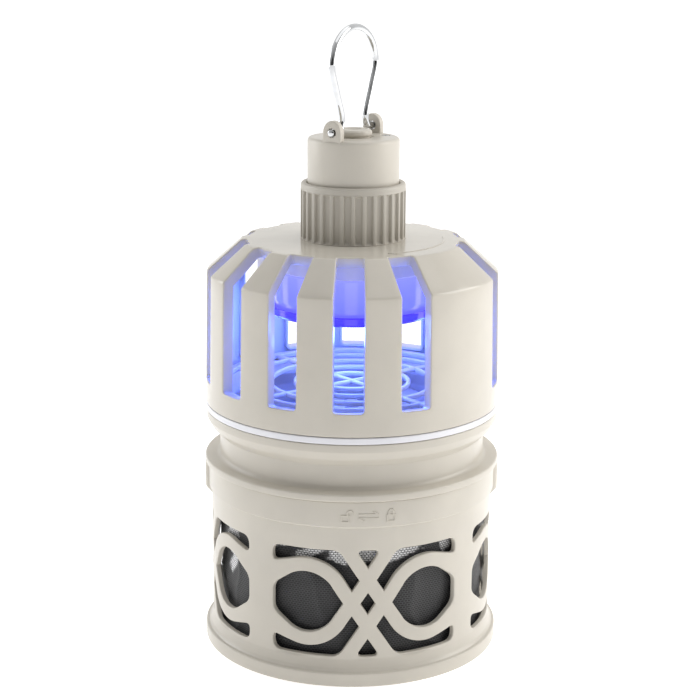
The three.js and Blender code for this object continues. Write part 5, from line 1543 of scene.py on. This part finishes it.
def make_cap():
    skirt_inner = CAP_R - 2.2
    corners = [(skirt_inner, CAP_SKIRT, 0.3), (CAP_R, CAP_SKIRT, 0.2), (CAP_R, CAP_DECK, 2.0),
               (10.2, CAP_DECK, 0.4), (10.0, CAP_DECK - 0.5, 0.2), (8.6, CAP_DECK - 0.5, 0.2),
               (8.6, CAP_DECK - 2.3, 0.2),
               (18.6, CAP_DECK - 2.3, 0.4), (18.6, 246.6, 0.3), (skirt_inner, 246.6, 0.3)]
    bm = bmesh.new()
    add_lathe(bm, rounded(corners))
    for sign in (1, -1):
        add_ear(bm, sign)
    cap = new_piece(bm, "cap_shell", cream, "lamp_module", ["top_cap"])
    screw = centre("cap_screw")
    cutter_bm = bmesh.new()
    add_lathe(cutter_bm, [(0, CAP_DECK - 1.2), (2.3, CAP_DECK - 1.2), (2.5, CAP_DECK - 1.0),
                          (2.5, CAP_DECK + 0.01), (3.0, CAP_DECK + 1), (0, CAP_DECK + 1)],
              SMALL_SEGMENTS, (screw.x, screw.y))
    bmesh.ops.scale(cutter_bm, vec=(MM, MM, MM), verts=cutter_bm.verts)
    bmesh.ops.recalc_face_normals(cutter_bm, faces=cutter_bm.faces)
    cutter = as_object(cutter_bm, "screw_recess")
    cut = cap.modifiers.new("recess", "BOOLEAN")
    cut.object = cutter
    cut.operation = "DIFFERENCE"
    cut.solver = "EXACT"
    depsgraph = bpy.context.evaluated_depsgraph_get()
    carved = bpy.data.meshes.new_from_object(cap.evaluated_get(depsgraph))
    cap.modifiers.clear()
    cap.data = carved
    bpy.data.objects.remove(cutter)
    return cap


def make_cap_screw():
    return screws("cap_fixing", [place_of("cap_screw")], 2.1, 0.8, 1.1, 3.2, "lamp_module", ["cap_screw"])


def make_gland():
    z0, z1, r = span_of("cord_gland")
    bore = 3.3
    corners = [(bore, z0, 0.3), (r - 0.5, z0, 0.3), (r - 0.5, z0 + 1.4, 0.4), (8.4, z0 + 1.8, 0.4),
               (8.4, CAP_DECK + 0.3, 0.5), (r - 0.7, CAP_DECK + 0.5, 0.3), (r, CAP_DECK + 1.2, 0.6),
               (r, z1 - 1.0, 0.9), (r - 1.1, z1, 0.7), (bore + 2.2, z1, 0.6), (bore + 1.4, z1 - 0.7, 0.4),
               (bore + 0.6, z1 - 0.8, 0.4), (bore, z1 - 1.4, 0.3)]
    return lathe("gland_sleeve", corners, cream, "lamp_module", ["cord_gland"], MID_SEGMENTS)


# Bail


BAIL_REACH = 50.7
BAIL_HALF_WIDTH = 22.4
BAIL_CROWN = 18.6
BAIL_THROAT = 12.2
BAIL_WIRE = 1.75
BAIL_BEND = 5.6
CROWN_POINTS = 5
DOME_STEPS = 5
DOME_RISE = 0.5


def curve_through(points, steps):
    """A centripetal curve through points in a plane."""
    chain = [points[0] * 2 - points[1], *points, points[-1] * 2 - points[-2]]
    made = []
    for i in range(1, len(chain) - 2):
        p0, p1, p2, p3 = chain[i - 1:i + 3]
        t1 = (p1 - p0).length ** 0.5
        t2 = t1 + (p2 - p1).length ** 0.5
        t3 = t2 + (p3 - p2).length ** 0.5
        for k in range(steps):
            t = t1 + (t2 - t1) * k / steps
            a1 = p0 * ((t1 - t) / t1) + p1 * (t / t1)
            a2 = p1 * ((t2 - t) / (t2 - t1)) + p2 * ((t - t1) / (t2 - t1))
            a3 = p2 * ((t3 - t) / (t3 - t2)) + p3 * ((t - t2) / (t3 - t2))
            b1 = a1 * ((t2 - t) / t2) + a2 * (t / t2)
            b2 = a2 * ((t3 - t) / (t3 - t1)) + a3 * ((t - t1) / (t3 - t1))
            made.append(b1 * ((t2 - t) / (t2 - t1)) + b2 * ((t - t1) / (t2 - t1)))
    return made + [points[-1]]


def bail_path():
    """The middle of the wire in its own plane, from one foot to the other: (along the hinge line, up)."""
    crown = BAIL_REACH - BAIL_CROWN
    half = [(EAR_FACE + 0.8, 0), (EAR_FACE - EAR_THICKNESS, 0), (BAIL_THROAT + BAIL_WIRE, BAIL_WIRE / 2),
            (BAIL_THROAT, BAIL_BEND), ((BAIL_THROAT + BAIL_HALF_WIDTH) / 2, (BAIL_BEND + crown) / 2)]
    for i in range(CROWN_POINTS):
        t = math.pi / 2 * i / CROWN_POINTS
        half.append((BAIL_HALF_WIDTH * math.cos(t), crown + BAIL_CROWN * math.sin(t)))
    mirrored = [(-a, z) for a, z in reversed(half)]
    return curve_through([Vector(p) for p in [*half, (0, BAIL_REACH), *mirrored]], 12)


def domed_end(ring, point, outward):
    """Rings that close a cut end of the wire with a low dome."""
    made = []
    for k in range(1, DOME_STEPS + 1):
        t = math.pi / 2 * k / DOME_STEPS
        shrink = max(math.cos(t), 0.02)
        push = outward * (DOME_RISE * math.sin(t))
        made.append([point + (p - point) * shrink + push for p in ring])
    return made


def make_bail():
    along, across = hinge_frame()
    path = [along * p.x + Vector((0, 0, HINGE_Z + p.y)) for p in bail_path()]
    sides = 24
    rings = []
    for i, point in enumerate(path):
        ahead = (path[min(i + 1, len(path) - 1)] - path[max(i - 1, 0)]).normalized()
        up = ahead.cross(across)
        rings.append([point + across * (BAIL_WIRE * math.cos(t)) + up * (BAIL_WIRE * math.sin(t))
                      for t in (2 * math.pi * j / sides for j in range(sides))])
    bm = bmesh.new()
    start = domed_end(rings[0], path[0], (path[0] - path[1]).normalized())
    end = domed_end(rings[-1], path[-1], (path[-1] - path[-2]).normalized())
    add_solid(bm, start[::-1] + rings + end)
    return new_piece(bm, "bail_wire", chrome, "bail", ["bail"], math.radians(60))


for make in (make_basket, make_tray, make_hoop, make_net, make_lower_housing, make_light_band, make_cage,
             make_duct, make_guard, make_guard_screws, make_mount, make_can, make_rotor, make_hub_cap,
             make_lens, make_rim, make_lamp_housing, make_bulb, make_collar, make_stem, make_cap,
             make_cap_screw, make_gland, make_bail):
    make()

# Inner pieces kept from the frame

KEPT = {
    board: ["led_board", "driver_board"],
    black: ["contact_block", "capacitor", "lamp_socket"],
    cream: ["lead_channel"],
    ferrite: ["transformer", "motor_magnet"],
    copper: ["motor_stator"],
    steel: ["motor_shaft", "motor_bearing_1", "motor_bearing_2",
            *[f"{kind}_screw_{k}" for kind in ("motor", "lamp") for k in (1, 2, 3)]],
    brass: ["stem_contact_1", "stem_contact_2"],
    rubber: ["cap_seal"],
}

for material, names in KEPT.items():
    for name in names:
        kept = frame["nodes"][name].data
        kept.materials.clear()
        kept.materials.append(material)

# Floor, light and camera


def backdrop_material():
    material, tree, bsdf = shader("pale_backdrop", (0.9, 0.9, 0.9), 0.85, Emission_Strength=0.6)
    bsdf.inputs["Emission Color"].default_value = (1, 1, 1, 1)
    vector = coordinates(tree)
    stops = [(0.3, (0.88, 0.88, 0.88)), (0.7, (0.91, 0.91, 0.91))]
    tree.links.new(ramp_of(tree, noise_of(tree, vector, 0.004, 3), stops), bsdf.inputs["Base Color"])
    return material


FLOOR_HALF = 15.0
FLOOR_GAP = 0.0002
LIGHT_AIM = Vector((0, 0, 0.16))


def make_floor():
    bm = bmesh.new()
    bmesh.ops.create_grid(bm, x_segments=24, y_segments=24, size=1.0)
    bmesh.ops.scale(bm, vec=(FLOOR_HALF, FLOOR_HALF, 1), verts=bm.verts)
    bmesh.ops.translate(bm, vec=(0, 0, -FLOOR_GAP), verts=bm.verts)
    return as_object(bm, "studio_floor", backdrop_material())


def add_light(name, kind, place, energy, colour, **settings):
    data = bpy.data.lights.new(name, kind)
    data.energy = energy
    data.color = colour
    for key, value in settings.items():
        setattr(data, key, value)
    light = bpy.data.objects.new(name, data)
    light.location = place
    light.rotation_euler = (LIGHT_AIM - Vector(place)).to_track_quat("-Z", "Y").to_euler()
    bpy.context.scene.collection.objects.link(light)
    return light


# brightness of the studio by direction, from straight in front to straight behind
WORLD_STOPS = ((0.0, 0.01), (0.05, 0.03), (0.12, 0.36), (0.5, 0.62), (1.0, 0.95))


def make_world():
    """Even studio white, brighter behind the object than in front of it."""
    world = bpy.data.worlds.new("studio")
    bpy.context.scene.world = world
    world.use_nodes = True
    tree = world.node_tree
    background = tree.nodes["Background"]
    source = node(tree, "ShaderNodeTexCoord")
    split = node(tree, "ShaderNodeSeparateXYZ")
    tree.links.new(source.outputs["Generated"], split.inputs["Vector"])
    span = node(tree, "ShaderNodeMapRange", From_Min=-1.0, From_Max=1.0)
    tree.links.new(split.outputs["Y"], span.inputs["Value"])
    stops = [(place, (level, level, level)) for place, level in WORLD_STOPS]
    tree.links.new(ramp_of(tree, span.outputs["Result"], stops), background.inputs["Color"])


CAMERA_PLACE = (0, -0.8835, 0.3739)
CAMERA_LENS = 89.99
CAMERA_SENSOR = 36.0
CAMERA_SHIFT = -0.0046
CAMERA_DOWN = 13.906
CAMERA_ROLL = 0.393


def make_camera():
    data = bpy.data.cameras.new("camera")
    data.lens = CAMERA_LENS
    data.sensor_width = CAMERA_SENSOR
    data.shift_x = CAMERA_SHIFT
    data.clip_start = 0.05
    data.clip_end = 60
    camera = bpy.data.objects.new("camera", data)
    pitch = Matrix.Rotation(math.radians(90 - CAMERA_DOWN), 4, "X")
    roll = Matrix.Rotation(math.radians(CAMERA_ROLL), 4, "Z")
    camera.matrix_world = Matrix.Translation(CAMERA_PLACE) @ pitch @ roll
    bpy.context.scene.collection.objects.link(camera)
    bpy.context.scene.camera = camera


GLOW_COLOUR = (0.07, 0.17, 1.0)
GLOW_LIGHTS = 8
GLOW_RADIUS = 50.0
GLOW_HEIGHT = 168.0
LAMP_GLOW = 0.22
RING_GLOW = 0.04

floor = make_floor()
make_world()
make_camera()
lights = [
    add_light("right_soft", "AREA", (0.9, 0.05, 0.55), 5.0, (1.0, 0.98, 0.95), size=0.7),
    add_light("left_rim", "AREA", (-0.95, 0.35, 0.45), 3.0, (0.98, 0.99, 1.0), size=0.6),
    add_light("top_soft", "AREA", (0.1, 0.15, 1.1), 2.0, (1.0, 1.0, 1.0), size=0.9),
    add_light("lamp_glow", "POINT", (0, 0, GLOW_HEIGHT * MM), LAMP_GLOW, GLOW_COLOUR,
              shadow_soft_size=0.012),
]
for k in range(GLOW_LIGHTS):
    place = polar(GLOW_RADIUS, 360 / GLOW_LIGHTS * (k + 0.5), GLOW_HEIGHT) * MM
    lights.append(add_light(f"ring_glow_{k + 1}", "POINT", place, RING_GLOW, GLOW_COLOUR,
                            shadow_soft_size=0.006))
bpy.context.scene.view_settings.view_transform = "Standard"

bpy.context.view_layer.update()
